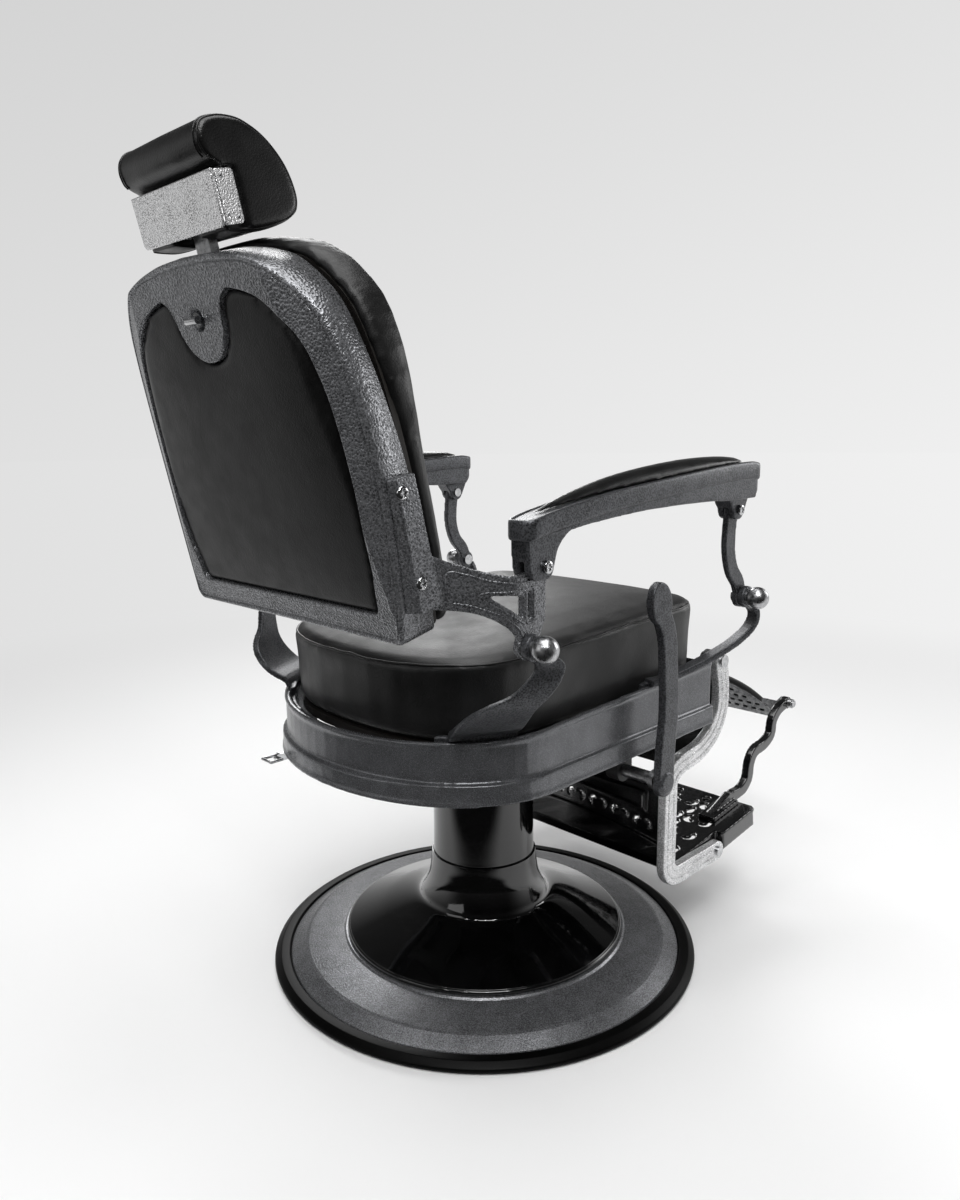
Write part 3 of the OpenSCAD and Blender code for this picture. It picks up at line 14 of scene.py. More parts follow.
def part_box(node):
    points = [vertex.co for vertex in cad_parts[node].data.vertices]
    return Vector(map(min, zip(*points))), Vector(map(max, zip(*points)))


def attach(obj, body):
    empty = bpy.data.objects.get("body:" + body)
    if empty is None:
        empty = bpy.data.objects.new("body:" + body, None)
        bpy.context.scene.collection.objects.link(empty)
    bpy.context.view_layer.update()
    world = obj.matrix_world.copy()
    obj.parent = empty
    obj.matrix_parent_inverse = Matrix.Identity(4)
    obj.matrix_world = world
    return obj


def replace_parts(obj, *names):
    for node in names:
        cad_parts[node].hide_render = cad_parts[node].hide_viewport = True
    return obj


MM = 0.001
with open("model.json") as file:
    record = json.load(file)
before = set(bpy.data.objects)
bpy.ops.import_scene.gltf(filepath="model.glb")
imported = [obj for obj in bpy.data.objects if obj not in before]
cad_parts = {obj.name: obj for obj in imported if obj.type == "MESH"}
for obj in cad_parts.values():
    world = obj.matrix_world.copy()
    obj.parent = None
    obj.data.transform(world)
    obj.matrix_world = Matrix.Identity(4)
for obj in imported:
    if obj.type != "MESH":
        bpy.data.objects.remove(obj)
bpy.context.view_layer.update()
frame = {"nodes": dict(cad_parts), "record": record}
nodes = frame["nodes"]
scene = bpy.context.scene
scene.view_settings.view_transform = "Standard"

# ------------------------------------------------------------------ camera and studio

CAMERA_AT = Vector((-1.06393, 1.03770, 0.86658))
YAW, PITCH, ROLL = -44.1989, 10.4502, -0.5624
LENS_MM, SENSOR_MM = 28.027, 36.0


def place_camera():
    """Behind the chair at the sitter's right: turned by YAW about Z, tipped down by PITCH and rolled by
    ROLL, in degrees."""
    yaw, pitch, roll = (math.radians(angle) for angle in (YAW, PITCH, ROLL))
    ahead = Vector((math.cos(yaw) * math.cos(pitch), math.sin(yaw) * math.cos(pitch), -math.sin(pitch)))
    level = ahead.cross(Vector((0, 0, 1))).normalized()
    above = level.cross(ahead)
    right = math.cos(roll) * level + math.sin(roll) * above
    top = math.cos(roll) * above - math.sin(roll) * level
    camera = bpy.data.objects.new("camera", bpy.data.cameras.new("camera"))
    camera.data.lens, camera.data.sensor_width = LENS_MM, SENSOR_MM
    camera.data.clip_end = 100.0
    camera.matrix_world = Matrix.Translation(CAMERA_AT) @ Matrix((right, top, -ahead)).transposed().to_4x4()
    scene.collection.objects.link(camera)
    scene.camera = camera


place_camera()


def linear(code):
    """Linear colour of an sRGB hex code such as 1a1a1c."""
    levels = [int(code[k:k + 2], 16) / 255 for k in (0, 2, 4)]
    return tuple(v / 12.92 if v <= 0.04045 else ((v + 0.055) / 1.055) ** 2.4 for v in levels) + (1.0,)


def fill(tree, node, sockets):
    """Fills a node's sockets with values or with other nodes; of a node the first output counts."""
    for name, value in sockets.items():
        if isinstance(value, bpy.types.Node):
            value = value.outputs[0]
        if isinstance(value, bpy.types.NodeSocket):
            tree.links.new(value, node.inputs[name])
        else:
            node.inputs[name].default_value = value


def add(tree, kind, sockets=None, stops=(), **settings):
    """Adds a node, sets its properties and its (position, colour) stops, and fills its sockets."""
    made = tree.nodes.new("ShaderNode" + kind)
    for name, value in settings.items():
        setattr(made, name, value)
    for _ in stops[2:]:
        made.color_ramp.elements.new(0.5)
    for k, (position, colour) in enumerate(stops):
        made.color_ramp.elements[k].position, made.color_ramp.elements[k].color = position, colour
    fill(tree, made, sockets or {})
    return made


def per(size_mm):
    """Scale of a pattern whose cells are size_mm across."""
    return 1 / (size_mm * MM)


def material(name):
    """A new material, its tree, its Principled shader and its Object coordinates, which are metres in
    the chair's own frame, since every piece sits at the origin."""
    made = bpy.data.materials.new(name)
    made.use_nodes = True
    tree = made.node_tree
    return made, tree, tree.nodes["Principled BSDF"], add(tree, "TexCoord").outputs["Object"]


def falling_off(tree, direction):
    """The room is a little darker towards the front left corner."""
    leftward = add(tree, "VectorMath", {0: direction, 1: (0.697, 0.717, 0.0)}, operation="DOT_PRODUCT")
    return add(tree, "MapRange", {"Value": leftward.outputs["Value"], "From Min": -0.45, "From Max": 0.45,
                                  "To Min": 1.02, "To Max": 0.88})


def room():
    """The world: a pale wall for the camera, a darker one in reflections, and a weak even light."""
    world = bpy.data.worlds.new("studio")
    scene.world = world
    world.use_nodes = True
    tree = world.node_tree
    tree.nodes.clear()
    path = add(tree, "LightPath")
    around = add(tree, "TexCoord").outputs["Generated"]
    up = add(tree, "SeparateXYZ", {"Vector": around}).outputs["Z"]
    wall = add(tree, "ValToRGB", {"Fac": add(tree, "MapRange", {"Value": up, "From Min": -0.1, "From Max": 0.6})},
               [(0.0, linear("efefef")), (0.25, linear("eaeaea")), (1.0, linear("d6d6d6"))])
    mirror = add(tree, "ValToRGB", {"Fac": add(tree, "MapRange", {"Value": up, "From Min": -0.05})},
                 [(0.0, linear("e4e4e4")), (0.18, linear("b4b4b4")), (0.5, linear("4a4a4a")),
                  (1.0, linear("303030"))])
    side = add(tree, "VectorMath", {0: around, 1: (-0.72, 0.69, 0.0)}, operation="DOT_PRODUCT").outputs["Value"]
    shade = add(tree, "MapRange", {"Value": side, "From Min": 0.1, "From Max": 0.75, "To Min": 1.0,
                                   "To Max": 0.10}, interpolation_type="SMOOTHSTEP")
    seen = add(tree, "Background", {"Color": wall, "Strength": falling_off(tree, around)})
    reflected = add(tree, "Background", {"Color": mirror, "Strength": shade})
    even_light = add(tree, "Background", {"Color": linear("d8d8d8"), "Strength": 0.22})
    unseen = add(tree, "MixShader", {"Fac": path.outputs["Is Glossy Ray"], 1: even_light, 2: reflected})
    direct = add(tree, "Math", {0: path.outputs["Is Camera Ray"], 1: path.outputs["Is Transmission Ray"]},
                 operation="MAXIMUM")
    add(tree, "OutputWorld", {"Surface": add(tree, "MixShader", {"Fac": direct, 1: unseen, 2: seen})})


FLOOR_R, FLOOR_SINK = 30, 0.0006


def ground():
    """Floor disc of FLOOR_R metres that fades into the wall's grey. Behind the camera's side, glossy rays see it
    painted dark grey: a painted reflection of an unlit studio."""
    floor = bpy.data.meshes.new("floor")
    turn = np.linspace(0, 2 * np.pi, 65)[:-1]
    edge = np.stack([FLOOR_R * np.cos(turn), FLOOR_R * np.sin(turn), np.full(64, -FLOOR_SINK)], 1)
    floor.from_pydata(edge.tolist(), [], [list(range(64))])
    sheet = bpy.data.objects.new("floor", floor)
    scene.collection.objects.link(sheet)
    paint, tree, shader, at = material("floor_paint")
    fill(tree, shader, {"Base Color": linear("f4f4f4"), "Roughness": 0.55, "Specular IOR Level": 0.3})
    aside = add(tree, "VectorMath", {0: at, 1: tuple(CAMERA_AT)}, operation="SUBTRACT")
    aside = add(tree, "VectorMath", {0: aside}, operation="NORMALIZE")
    glow = add(tree, "Emission", {"Color": linear("eeeeee"), "Strength": falling_off(tree, aside)})
    away = add(tree, "VectorMath", {0: at}, operation="LENGTH").outputs["Value"]
    share = add(tree, "MapRange", {"Value": away, "From Min": 0.9, "From Max": 3.2},
                interpolation_type="SMOOTHSTEP")
    mixed = add(tree, "MixShader", {"Fac": share, 1: shader, 2: glow})
    # painted reflection: to glossy rays, the floor behind the camera's side shows a dark grey emission in place
    # of an unlit studio
    behind = add(tree, "VectorMath", {0: at, 1: (-0.45, 0.89, 0.0)}, operation="DOT_PRODUCT").outputs["Value"]
    unlit = add(tree, "MapRange", {"Value": behind, "From Min": 0.3, "From Max": 0.55},
                interpolation_type="SMOOTHSTEP")
    mirrored = add(tree, "Math", {0: unlit, 1: add(tree, "LightPath").outputs["Is Glossy Ray"]},
                   operation="MULTIPLY")
    dark = add(tree, "Emission", {"Color": linear("2a2a2a"), "Strength": 1.0})
    fill(tree, tree.nodes["Material Output"],
         {"Surface": add(tree, "MixShader", {"Fac": mirrored, 1: mixed, 2: dark})})
    floor.materials.append(paint)


LAMPS_AIM_AT = Vector((0, 0, 0.55))
# name, place, width, height in metres and power in watts
LAMPS = [("key", (-1.5, 1.3, 3.1), 1.4, 1.4, 44), ("fill", (0.4, 2.9, 1.7), 1.6, 1.2, 7),
         ("rim", (2.4, -1.6, 2.2), 1.3, 1.6, 42), ("top", (0.1, 0.3, 3.2), 2.2, 2.2, 52),
         ("front", (-1.2, -2.6, 1.5), 1.3, 1.3, 22)]
LAMPS += [(f"spot_{k}", (-2.9 + 0.75 * k, 1.35 + 0.6 * k, 3.0), 0.16, 0.16, 5.0) for k in range(4)]


def light():
    """Five soft boxes and a row of four small spots, all turned towards the seat."""
    for name, place, width, height, power in LAMPS:
        lamp = bpy.data.objects.new(name, bpy.data.lights.new(name, "AREA"))
        lamp.data.shape = "RECTANGLE"
        lamp.data.size, lamp.data.size_y, lamp.data.energy = width, height, power
        lamp.location = place
        lamp.rotation_euler = (LAMPS_AIM_AT - Vector(place)).to_track_quat("-Z", "Y").to_euler()
        scene.collection.objects.link(lamp)


room()
ground()
light()

# ------------------------------------------------------------------ finishes


def cast_coat(name, colour, light, cell_mm, depth_mm, rough, metallic=0.55, stops=(0.30, 0.85)):
    """Textured polyester powder coat on an iron or aluminium casting: a fine pebble, with painted shade in its
    hollows and painted light on its tops, which breaks every highlight into sparkle, over slower waves of the
    casting itself whose rises are painted lighter too."""
    made, tree, shader, at = material(name)
    pebble = add(tree, "TexVoronoi", {"Vector": at, "Scale": per(cell_mm), "Smoothness": 0.6},
                 feature="SMOOTH_F1")
    fleck = add(tree, "TexNoise", {"Vector": at, "Scale": per(cell_mm * 0.7), "Detail": 3.0, "Roughness": 0.6})
    waves = add(tree, "TexNoise", {"Vector": at, "Scale": per(26)})
    mixed = add(tree, "Mix", {"Factor": 0.28, 2: pebble, 3: fleck}, data_type="FLOAT")
    # painted shade and light: the colour follows the bump's height, dark in the hollows and light on the tops and
    # rises
    pebble_shade_and_light = add(tree, "Math", {0: waves, 1: 0.35}, operation="MULTIPLY")
    pebble_shade_and_light = add(tree, "Math", {0: mixed, 1: pebble_shade_and_light}, operation="ADD")
    slow = add(tree, "Bump", {"Height": waves, "Distance": 0.5 * MM, "Strength": 0.35})
    fill(tree, shader, {
        "Base Color": add(tree, "ValToRGB", {"Fac": pebble_shade_and_light},
                          [(stops[0], linear(colour)), (stops[1], linear(light))]),
        "Roughness": add(tree, "MapRange", {"Value": fleck, "To Min": rough - 0.08, "To Max": rough + 0.1}),
        "Metallic": metallic,
        "Normal": add(tree, "Bump", {"Height": mixed, "Distance": depth_mm * MM, "Strength": 0.8,
                                     "Normal": slow})})
    return made


def gloss_enamel(name, colour, peel_mm, peel_depth_mm, rough=0.055):
    """Stoved black enamel: a deep wet gloss whose reflections waver a little with orange peel, and
    fine dust and wiping marks that show only in the highlights."""
    made, tree, shader, at = material(name)
    dust = add(tree, "TexNoise", {"Vector": at, "Scale": per(40), "Detail": 3.0})
    wipe = add(tree, "TexNoise", {"Vector": at, "Scale": per(9), "Detail": 5.0, "Roughness": 0.65})
    peel = add(tree, "TexNoise", {"Vector": at, "Scale": per(peel_mm), "Detail": 1.0})
    fill(tree, shader, {
        "Base Color": add(tree, "ValToRGB", {"Fac": dust}, [(0.3, linear(colour)), (0.8, linear("0b0b0c"))]),
        "Roughness": add(tree, "MapRange", {"Value": wipe, "From Min": 0.35, "From Max": 0.75, "To Min": rough,
                                            "To Max": rough + 0.09}),
        "Specular IOR Level": 0.6, "Coat Weight": 0.5, "Coat Roughness": 0.03,
        "Normal": add(tree, "Bump", {"Height": peel, "Distance": peel_depth_mm * MM, "Strength": 0.5})})
    return made


def vinyl(name, colour, light, rough, shine=0.45):
    """Expanded PVC upholstery: a fine even calf grain of small rounded pebbles, a soft sheen, and slow
    stretch marks where it is pulled over the foam."""
    made, tree, shader, at = material(name)
    pebble = add(tree, "TexVoronoi", {"Vector": at, "Scale": per(2.1), "Smoothness": 0.6}, feature="SMOOTH_F1")
    fine = add(tree, "TexNoise", {"Vector": at, "Scale": per(1.5)})
    pull = add(tree, "TexNoise", {"Vector": at, "Scale": per(34), "Detail": 3.0, "Roughness": 0.55})
    slow = add(tree, "Bump", {"Height": pull, "Distance": 1.2 * MM, "Strength": 0.35})
    hide = add(tree, "Bump", {"Height": fine, "Distance": 0.16 * MM, "Strength": 0.5, "Normal": slow})
    fill(tree, shader, {
        "Base Color": add(tree, "ValToRGB", {"Fac": pull}, [(0.25, linear(colour)), (0.8, linear(light))]),
        "Roughness": add(tree, "MapRange", {"Value": pull, "From Min": 0.3, "From Max": 0.7,
                                            "To Min": rough - 0.05, "To Max": rough + 0.07}),
        "Specular IOR Level": shine, "Sheen Weight": 0.01,
        "Normal": add(tree, "Bump", {"Height": pebble, "Distance": -0.24 * MM, "Strength": 0.7,
                                     "Normal": hide})})
    return made


def bare_metal(name, colour, rough, haze, scratch=0.0, dent_mm=0.0):
    """Plated or machined metal: colour and gloss drift a little, with hairline scratches or small dents."""
    made, tree, shader, at = material(name)
    cloud = add(tree, "TexNoise", {"Vector": at, "Scale": per(7), "Detail": 4.0, "Roughness": 0.6})
    drawn = add(tree, "Mapping", {"Vector": at, "Rotation": (0.4, 0.7, 0.2), "Scale": (1, 14, 1)})
    lines = add(tree, "TexNoise", {"Vector": drawn, "Scale": per(6), "Detail": 3.0})
    normal = add(tree, "Bump", {"Height": lines, "Distance": 0.05 * MM, "Strength": scratch})
    if dent_mm:
        dents = add(tree, "TexNoise", {"Vector": at, "Scale": per(3.4), "Detail": 1.0})
        normal = add(tree, "Bump", {"Height": dents, "Distance": dent_mm * MM, "Strength": 0.6,
                                    "Normal": normal})
    fill(tree, shader, {
        "Base Color": add(tree, "ValToRGB", {"Fac": cloud}, [(0.3, linear(colour)), (0.8, linear("dcdcdd"))]),
        "Roughness": add(tree, "MapRange", {"Value": cloud, "From Min": 0.3, "From Max": 0.7, "To Min": rough,
                                            "To Max": rough + haze}),
        "Metallic": 1.0, "Normal": normal})
    return made


def painted(name, colour, light, rough, size_mm, depth_mm, shine=0.5):
    """Matt paint, rubber or rough cast iron: dull, a little mottled, with a dry fine tooth."""
    made, tree, shader, at = material(name)
    tooth = add(tree, "TexNoise", {"Vector": at, "Scale": per(size_mm), "Detail": 4.0, "Roughness": 0.6})
    mottle = add(tree, "TexNoise", {"Vector": at, "Scale": per(size_mm * 12), "Detail": 3.0})
    fill(tree, shader, {
        "Base Color": add(tree, "ValToRGB", {"Fac": mottle}, [(0.3, linear(colour)), (0.75, linear(light))]),
        "Roughness": add(tree, "MapRange", {"Value": tooth, "To Min": rough - 0.1, "To Max": rough + 0.1}),
        "Specular IOR Level": shine,
        "Normal": add(tree, "Bump", {"Height": tooth, "Distance": depth_mm * MM, "Strength": 0.6})})
    return made


def plywood(name):
    """Birch plywood stained black: long grain across the sheet shows through as a faint figure."""
    made, tree, shader, at = material(name)
    long = add(tree, "Mapping", {"Vector": at, "Scale": (1, 12, 12)})
    figure = add(tree, "TexNoise", {"Vector": long, "Scale": per(60), "Detail": 6.0, "Distortion": 0.6})
    fill(tree, shader, {
        "Base Color": add(tree, "ValToRGB", {"Fac": figure},
                          [(0.3, linear("0d0b09")), (0.5, linear("181410")), (0.7, linear("120f0c"))]),
        "Roughness": 0.62,
        "Normal": add(tree, "Bump", {"Height": figure, "Distance": 0.2 * MM, "Strength": 0.5})})
    return made


# colours as sRGB hex; then cell size and depth in millimetres, roughness, metallic and ramp stops of a
# coat; roughness and gloss of a vinyl; roughness, haze, scratches and dents of a metal
FINISH = {
    "coat": cast_coat("pebbled_gunmetal_powder_coat", "1c1d1e", "828386", 2.8, 1.5, 0.25, 0.7, (0.28, 0.80)),
    # arm_coat is a darker copy of the casting coat: painted shade on the arms, their brackets and links, and the
    # lever
    "arm_coat": cast_coat("fine_gunmetal_coat_on_arms", "0c0c0d", "56575a", 2.3, 0.5, 0.33, 0.6, (0.34, 0.78)),
    "band": cast_coat("satin_gunmetal_powder_coat", "363738", "717275", 1.3, 0.06, 0.25, 0.6),
    # rail is a lighter copy of the casting coat: painted light on the rails
    "rail": cast_coat("bright_coat_on_rails", "848586", "eeeeef", 2.2, 0.3, 0.28, 0.7),
    "plate": cast_coat("gunmetal_coat_on_base", "343536", "8b8c8f", 1.9, 0.32, 0.28, 0.62),
    "steel_box": cast_coat("hammered_silver_coat", "161617", "f8f8f9", 2.0, 1.0, 0.24, 0.85, (0.34, 0.60)),
    "cast_black": gloss_enamel("enamel_on_cast_panel", "050506", 3.0, 0.10, 0.16),
    "enamel": gloss_enamel("stoved_black_enamel", "030303", 2.2, 0.015),
    "vinyl": vinyl("black_calf_grain_vinyl", "040404", "0a0a0a", 0.33),
    "seat_vinyl": vinyl("black_vinyl_rubbed_by_sitting", "080808", "131313", 0.46, 0.68),
    "panel_vinyl": vinyl("black_vinyl_stretched_flat", "040404", "080808", 0.36, 0.28),
    "back_vinyl": vinyl("black_vinyl_on_the_back_cushion", "040404", "0a0a0a", 0.44, 0.36),
    "chrome": bare_metal("bright_chrome_plate", "a9aaac", 0.06, 0.07, 0.15),
    "nickel": bare_metal("rubbed_nickel_plate", "8b8c8e", 0.24, 0.14, 0.3, 0.12),
    "zinc": bare_metal("zinc_plated_steel", "77797b", 0.3, 0.12, 0.25),
    "frame_paint": painted("matt_black_chassis_paint", "0b0b0c", "151516", 0.55, 0.8, 0.08),
    "iron": painted("grey_iron_casting", "2b2b2c", "3c3c3d", 0.62, 1.4, 0.2),
    "rubber": painted("moulded_rubber", "020202", "040404", 0.40, 1.0, 0.03, 0.08),
    "plywood": plywood("black_stained_plywood"),
}

WEARS = {
    "coat": "back_frame side_bracket_left side_bracket_right",
    "arm_coat": "rear_bracket_left rear_bracket_right front_bracket_left front_bracket_right armrest_left "
                "armrest_right front_link_left front_link_right pump_lever",
    "rail": "rail_left rail_right",
    "band": "seat_band", "plate": "base_plate", "steel_box": "headrest_bracket",
    "cast_black": "leg_panel footplate calf_arm_left calf_arm_right leg_cross_bar leg_apron",
    "enamel": "skirt_cover column_cover",
    "vinyl": "seat_cushion back_panel back_cushion headrest_pad arm_pad_left arm_pad_right calf_cushion",
    "chrome": "ram pivot_bolts ring_lug bracket_screws post_socket clamp_key arm_pins_left "
              "arm_pins_right leg_hinge_bolts footplate_bolts towel_ring",
    "nickel": "ball_knobs calf_stubs headrest_post",
    "zinc": "gland_nut flange_bolts thrust_bearing headrest_pin lever_shaft calf_plate",
    "frame_paint": "seat_mount seat_frame valve_box shaft_hanger", "iron": "pump_body", "rubber": "base_ring",
    "plywood": "seat_board back_board",
}
for finish_name, wearers in WEARS.items():
    for wearer in wearers.split():
        mesh = nodes[wearer].data
        mesh.materials.clear()
        mesh.materials.append(FINISH[finish_name])
BODY = {n: b for b, members in frame["record"]["behaviour"]["bodies"].items() for n in members}

# ------------------------------------------------------------------ castings


MERGE_MM = 0.0002


def skinned(piece, voxel_mm):
    """Live modifiers that join a solid's loose triangles and lay a voxel skin over them."""
    piece.modifiers.new("weld", "WELD").merge_threshold = MERGE_MM * MM
    skin = piece.modifiers.new("skin", "REMESH")
    skin.mode, skin.voxel_size = "VOXEL", voxel_mm * MM
    return skin


def relaxed(piece, passes):
    """Live modifier that moves each point half way to the middle of its neighbours, passes times."""
    relax = piece.modifiers.new("relax", "SMOOTH")
    relax.factor, relax.iterations = 0.5, passes


# sand castings with eased edges: nodes, voxel size in millimetres, passes of relaxing
CASTINGS = [("side_bracket_left side_bracket_right rear_bracket_left rear_bracket_right front_bracket_left "
             "front_bracket_right front_link_left front_link_right calf_arm_left calf_arm_right", 1.5, 4),
            ("armrest_left armrest_right", 1.8, 3), ("rail_left rail_right pump_lever", 1.6, 4),
            ("seat_band", 2.4, 2), ("footplate", 2.1, 2), ("leg_panel", 1.8, 2)]
for members, voxel, passes in CASTINGS:
    for member in members.split():
        skinned(nodes[member], voxel).use_smooth_shade = True
        relaxed(nodes[member], passes)

# ------------------------------------------------------------------ mesh makers


def new_piece(node, name, points, faces, finish):
    """A piece from arrays of points (n, 3) in metres and faces, on a node's body. Its shell is closed, so a
    negative volume means that its faces look inwards, and they are turned round."""
    mesh = bpy.data.meshes.new(name)
    mesh.from_pydata(np.asarray(points, float).tolist(), [], [list(map(int, f)) for f in faces])
    shell = bmesh.new()
    shell.from_mesh(mesh)
    if shell.calc_volume(signed=True) < 0:
        bmesh.ops.reverse_faces(shell, faces=shell.faces)
        shell.to_mesh(mesh)
    shell.free()
    mesh.shade_smooth()
    mesh.materials.append(FINISH[finish])
    piece = bpy.data.objects.new(name, mesh)
    scene.collection.objects.link(piece)
    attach(piece, BODY[node])
    return piece


def grid_faces(rows, columns, close_rows=False, close_columns=False):
    """Quads of a rows x columns grid of points, joined end to start where it closes."""
    r = np.arange(rows if close_rows else rows - 1)[:, None]
    c = np.arange(columns if close_columns else columns - 1)[None, :]
    r2, c2 = (r + 1) % rows, (c + 1) % columns
    return np.stack([r * columns + c, r2 * columns + c, r2 * columns + c2, r * columns + c2], -1).reshape(-1, 4)


def curve_through(points, per_span=8, closed=False):
    """Catmull-Rom curve: p(t) = (2b + (c - a)t + (2a - 5b + 4c - d)t^2 + (3b - a - 3c + d)t^3) / 2."""
    p = np.asarray(points, float)
    p = np.vstack([p[-1:], p, p[:2]]) if closed else np.vstack([2 * p[:1] - p[1:2], p, 2 * p[-1:] - p[-2:-1]])
    t = np.linspace(0, 1, per_span, endpoint=False)[None, :, None]
    a, b, c, d = (p[k:len(p) - 3 + k, None, :] for k in range(4))
    line = (0.5 * (2 * b + (c - a) * t + (2 * a - 5 * b + 4 * c - d) * t ** 2
                   + (3 * b - a - 3 * c + d) * t ** 3)).reshape(-1, p.shape[1])
    return line if closed else np.vstack([line, p[-2]])


def arc(centre, radius, first, last, steps=10):
    """Points of an arc between two angles in degrees."""
    a = np.radians(np.linspace(first, last, steps))
    return np.stack([centre[0] + radius * np.cos(a), centre[1] + radius * np.sin(a)], 1)


LATHE_STEPS = 192


def lathe(node, name, profile, finish):
    """Turned piece: the closed (radius, height) profile in millimetres swept round the Z axis."""
    profile = np.asarray(profile, float)
    turn = np.linspace(0, 2 * np.pi, LATHE_STEPS, endpoint=False)
    r, z = profile[:, 0][None, :], profile[:, 1][None, :]
    points = np.stack([r * np.cos(turn)[:, None], r * np.sin(turn)[:, None], np.repeat(z, LATHE_STEPS, 0)], -1)
    faces = grid_faces(LATHE_STEPS, len(profile), True, True)
    return new_piece(node, name, points.reshape(-1, 3) * MM, faces, finish)


def along(path, closed):
    """Unit tangents of a path."""
    step = np.roll(path, -1, 0) - np.roll(path, 1, 0) if closed else np.gradient(path, axis=0)
    return step / np.linalg.norm(step, axis=1)[:, None]


def welt(node, name, path, radius, finish, closed=True, facing=(0, 0, 1), sides=10):
    """Round welt: a circle of the given radius carried along the path, its seam turned off facing."""
    t = along(path, closed)
    side = np.cross(t, np.asarray(facing, float))
    side /= np.linalg.norm(side, axis=1)[:, None]
    lift = np.cross(side, t)
    turn = np.linspace(0, 2 * np.pi, sides, endpoint=False)
    ring = np.cos(turn)[None, :, None] * side[:, None, :] + np.sin(turn)[None, :, None] * lift[:, None, :]
    points = (path[:, None, :] + radius * ring).reshape(-1, 3)
    faces = grid_faces(len(path), sides, closed, True)[:, ::-1].tolist()
    if not closed:
        faces += [list(range(sides)), list(range(len(points) - 1, len(points) - sides - 1, -1))]
    return new_piece(node, name, points, faces, finish)


# ------------------------------------------------------------------ upholstery


def arrays(mesh):
    """Vertex positions and normals of a mesh as (n, 3) arrays."""
    place, normal = np.empty(len(mesh.vertices) * 3), np.empty(len(mesh.vertices) * 3)
    mesh.vertices.foreach_get("co", place)
    mesh.vertices.foreach_get("normal", normal)
    return place.reshape(-1, 3), normal.reshape(-1, 3)


def shaped(piece):
    """The piece's mesh with its modifiers applied, as a new mesh."""
    view = bpy.context.evaluated_depsgraph_get()
    return bpy.data.meshes.new_from_object(piece.evaluated_get(view))


def bake_modifiers(piece):
    """Gives the piece the mesh that its modifiers make, and takes them off."""
    mesh = shaped(piece)
    piece.modifiers.clear()
    piece.data = mesh


def put(piece, points):
    """Moves the piece's vertices to points."""
    piece.data.vertices.foreach_set("co", points.ravel())
    piece.data.update()


CLOTH_FRAMES, EVENING_PASSES = 20, 110


def inflate(piece, pressure, cap_mm):
    """Sealed cloth under pressure. Of each point's travel the part along its normal is kept, spread
    evenly to its neighbours and capped: the lowest tenth stays where it was and the fullest twentieth
    stands cap_mm proud, so the cover swells without creasing."""
    start, normals = arrays(piece.data)
    cloth = piece.modifiers.new("cloth", "CLOTH")
    rules = cloth.settings
    rules.quality, rules.mass, rules.air_damping = 4, 0.3, 2.0
    rules.tension_stiffness = rules.compression_stiffness = 12.0
    rules.shear_stiffness, rules.bending_stiffness = 6.0, 0.8
    rules.use_pressure, rules.uniform_pressure_force = True, pressure
    rules.effector_weights.gravity = 0.0
    cloth.collision_settings.use_collision = False
    cloth.point_cache.frame_end = CLOTH_FRAMES
    for moment in range(1, CLOTH_FRAMES + 1):
        scene.frame_set(moment)
    moved = arrays(shaped(piece))[0] - start
    scene.frame_set(1)
    piece.modifiers.clear()
    rise = np.einsum("ij,ij->i", moved, normals)
    ends = np.empty(len(piece.data.edges) * 2, int)
    piece.data.edges.foreach_get("vertices", ends)
    a, b = ends[::2], ends[1::2]
    count = np.maximum(np.bincount(a, minlength=len(rise)) + np.bincount(b, minlength=len(rise)), 1)
    for _ in range(EVENING_PASSES):
        around = np.bincount(a, rise[b], len(rise)) + np.bincount(b, rise[a], len(rise))
        rise = 0.4 * rise + 0.6 * around / count
    low, high = np.percentile(rise, (10, 95))
    share = np.clip((rise - low) / max(high - low, 1e-9), 0, 1)
    return start + normals * (cap_mm * MM * share)[:, None]


FORM_PASSES = 26


def padding(node, name, voxel_mm, cap_mm, pressure, shrink_mm, smoothing, held=None, seams=(),
            after=None, form=None, finish="vinyl"):
    """Padded piece from its solid's form: merged, voxel skinned, drawn in by shrink_mm, blown up by at
    most cap_mm, then sewn. form(points) reshapes it before and after(points) at the end. held(points) is
    0 where the cover is fixed to its board and 1 where it is free; each seam is (path, groove depth,
    groove width, pucker height, pucker spacing) in metres."""
    piece = bpy.data.objects.new(name, nodes[node].data.copy())
    scene.collection.objects.link(piece)
    skinned(piece, voxel_mm)
    piece.modifiers.new("seat", "SHRINKWRAP").target = nodes[node]
    relaxed(piece, smoothing)
    bake_modifiers(piece)
    if form is not None:
        put(piece, form(arrays(piece.data)[0]))
        relaxed(piece, FORM_PASSES)
        bake_modifiers(piece)
    points, normals = arrays(piece.data)
    free = np.ones(len(points)) if held is None else held(points)
    points = points - normals * (shrink_mm * MM * free)[:, None]
    put(piece, points)
    points = points + (inflate(piece, pressure, cap_mm) - points) * free[:, None]
    put(piece, points)
    for path, *stitch in seams:
        points, normals = arrays(piece.data)
        put(piece, sewn(points, normals, laid_on(piece, path, closed=False), *stitch))
    if after is not None:
        put(piece, after(arrays(piece.data)[0]))
    piece.data.shade_smooth()
    piece.data.materials.clear()
    piece.data.materials.append(FINISH[finish])
    fine = piece.modifiers.new("fine", "SUBSURF")
    fine.levels = fine.render_levels = 1
    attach(piece, BODY[node])
    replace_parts(piece, node)
    return piece


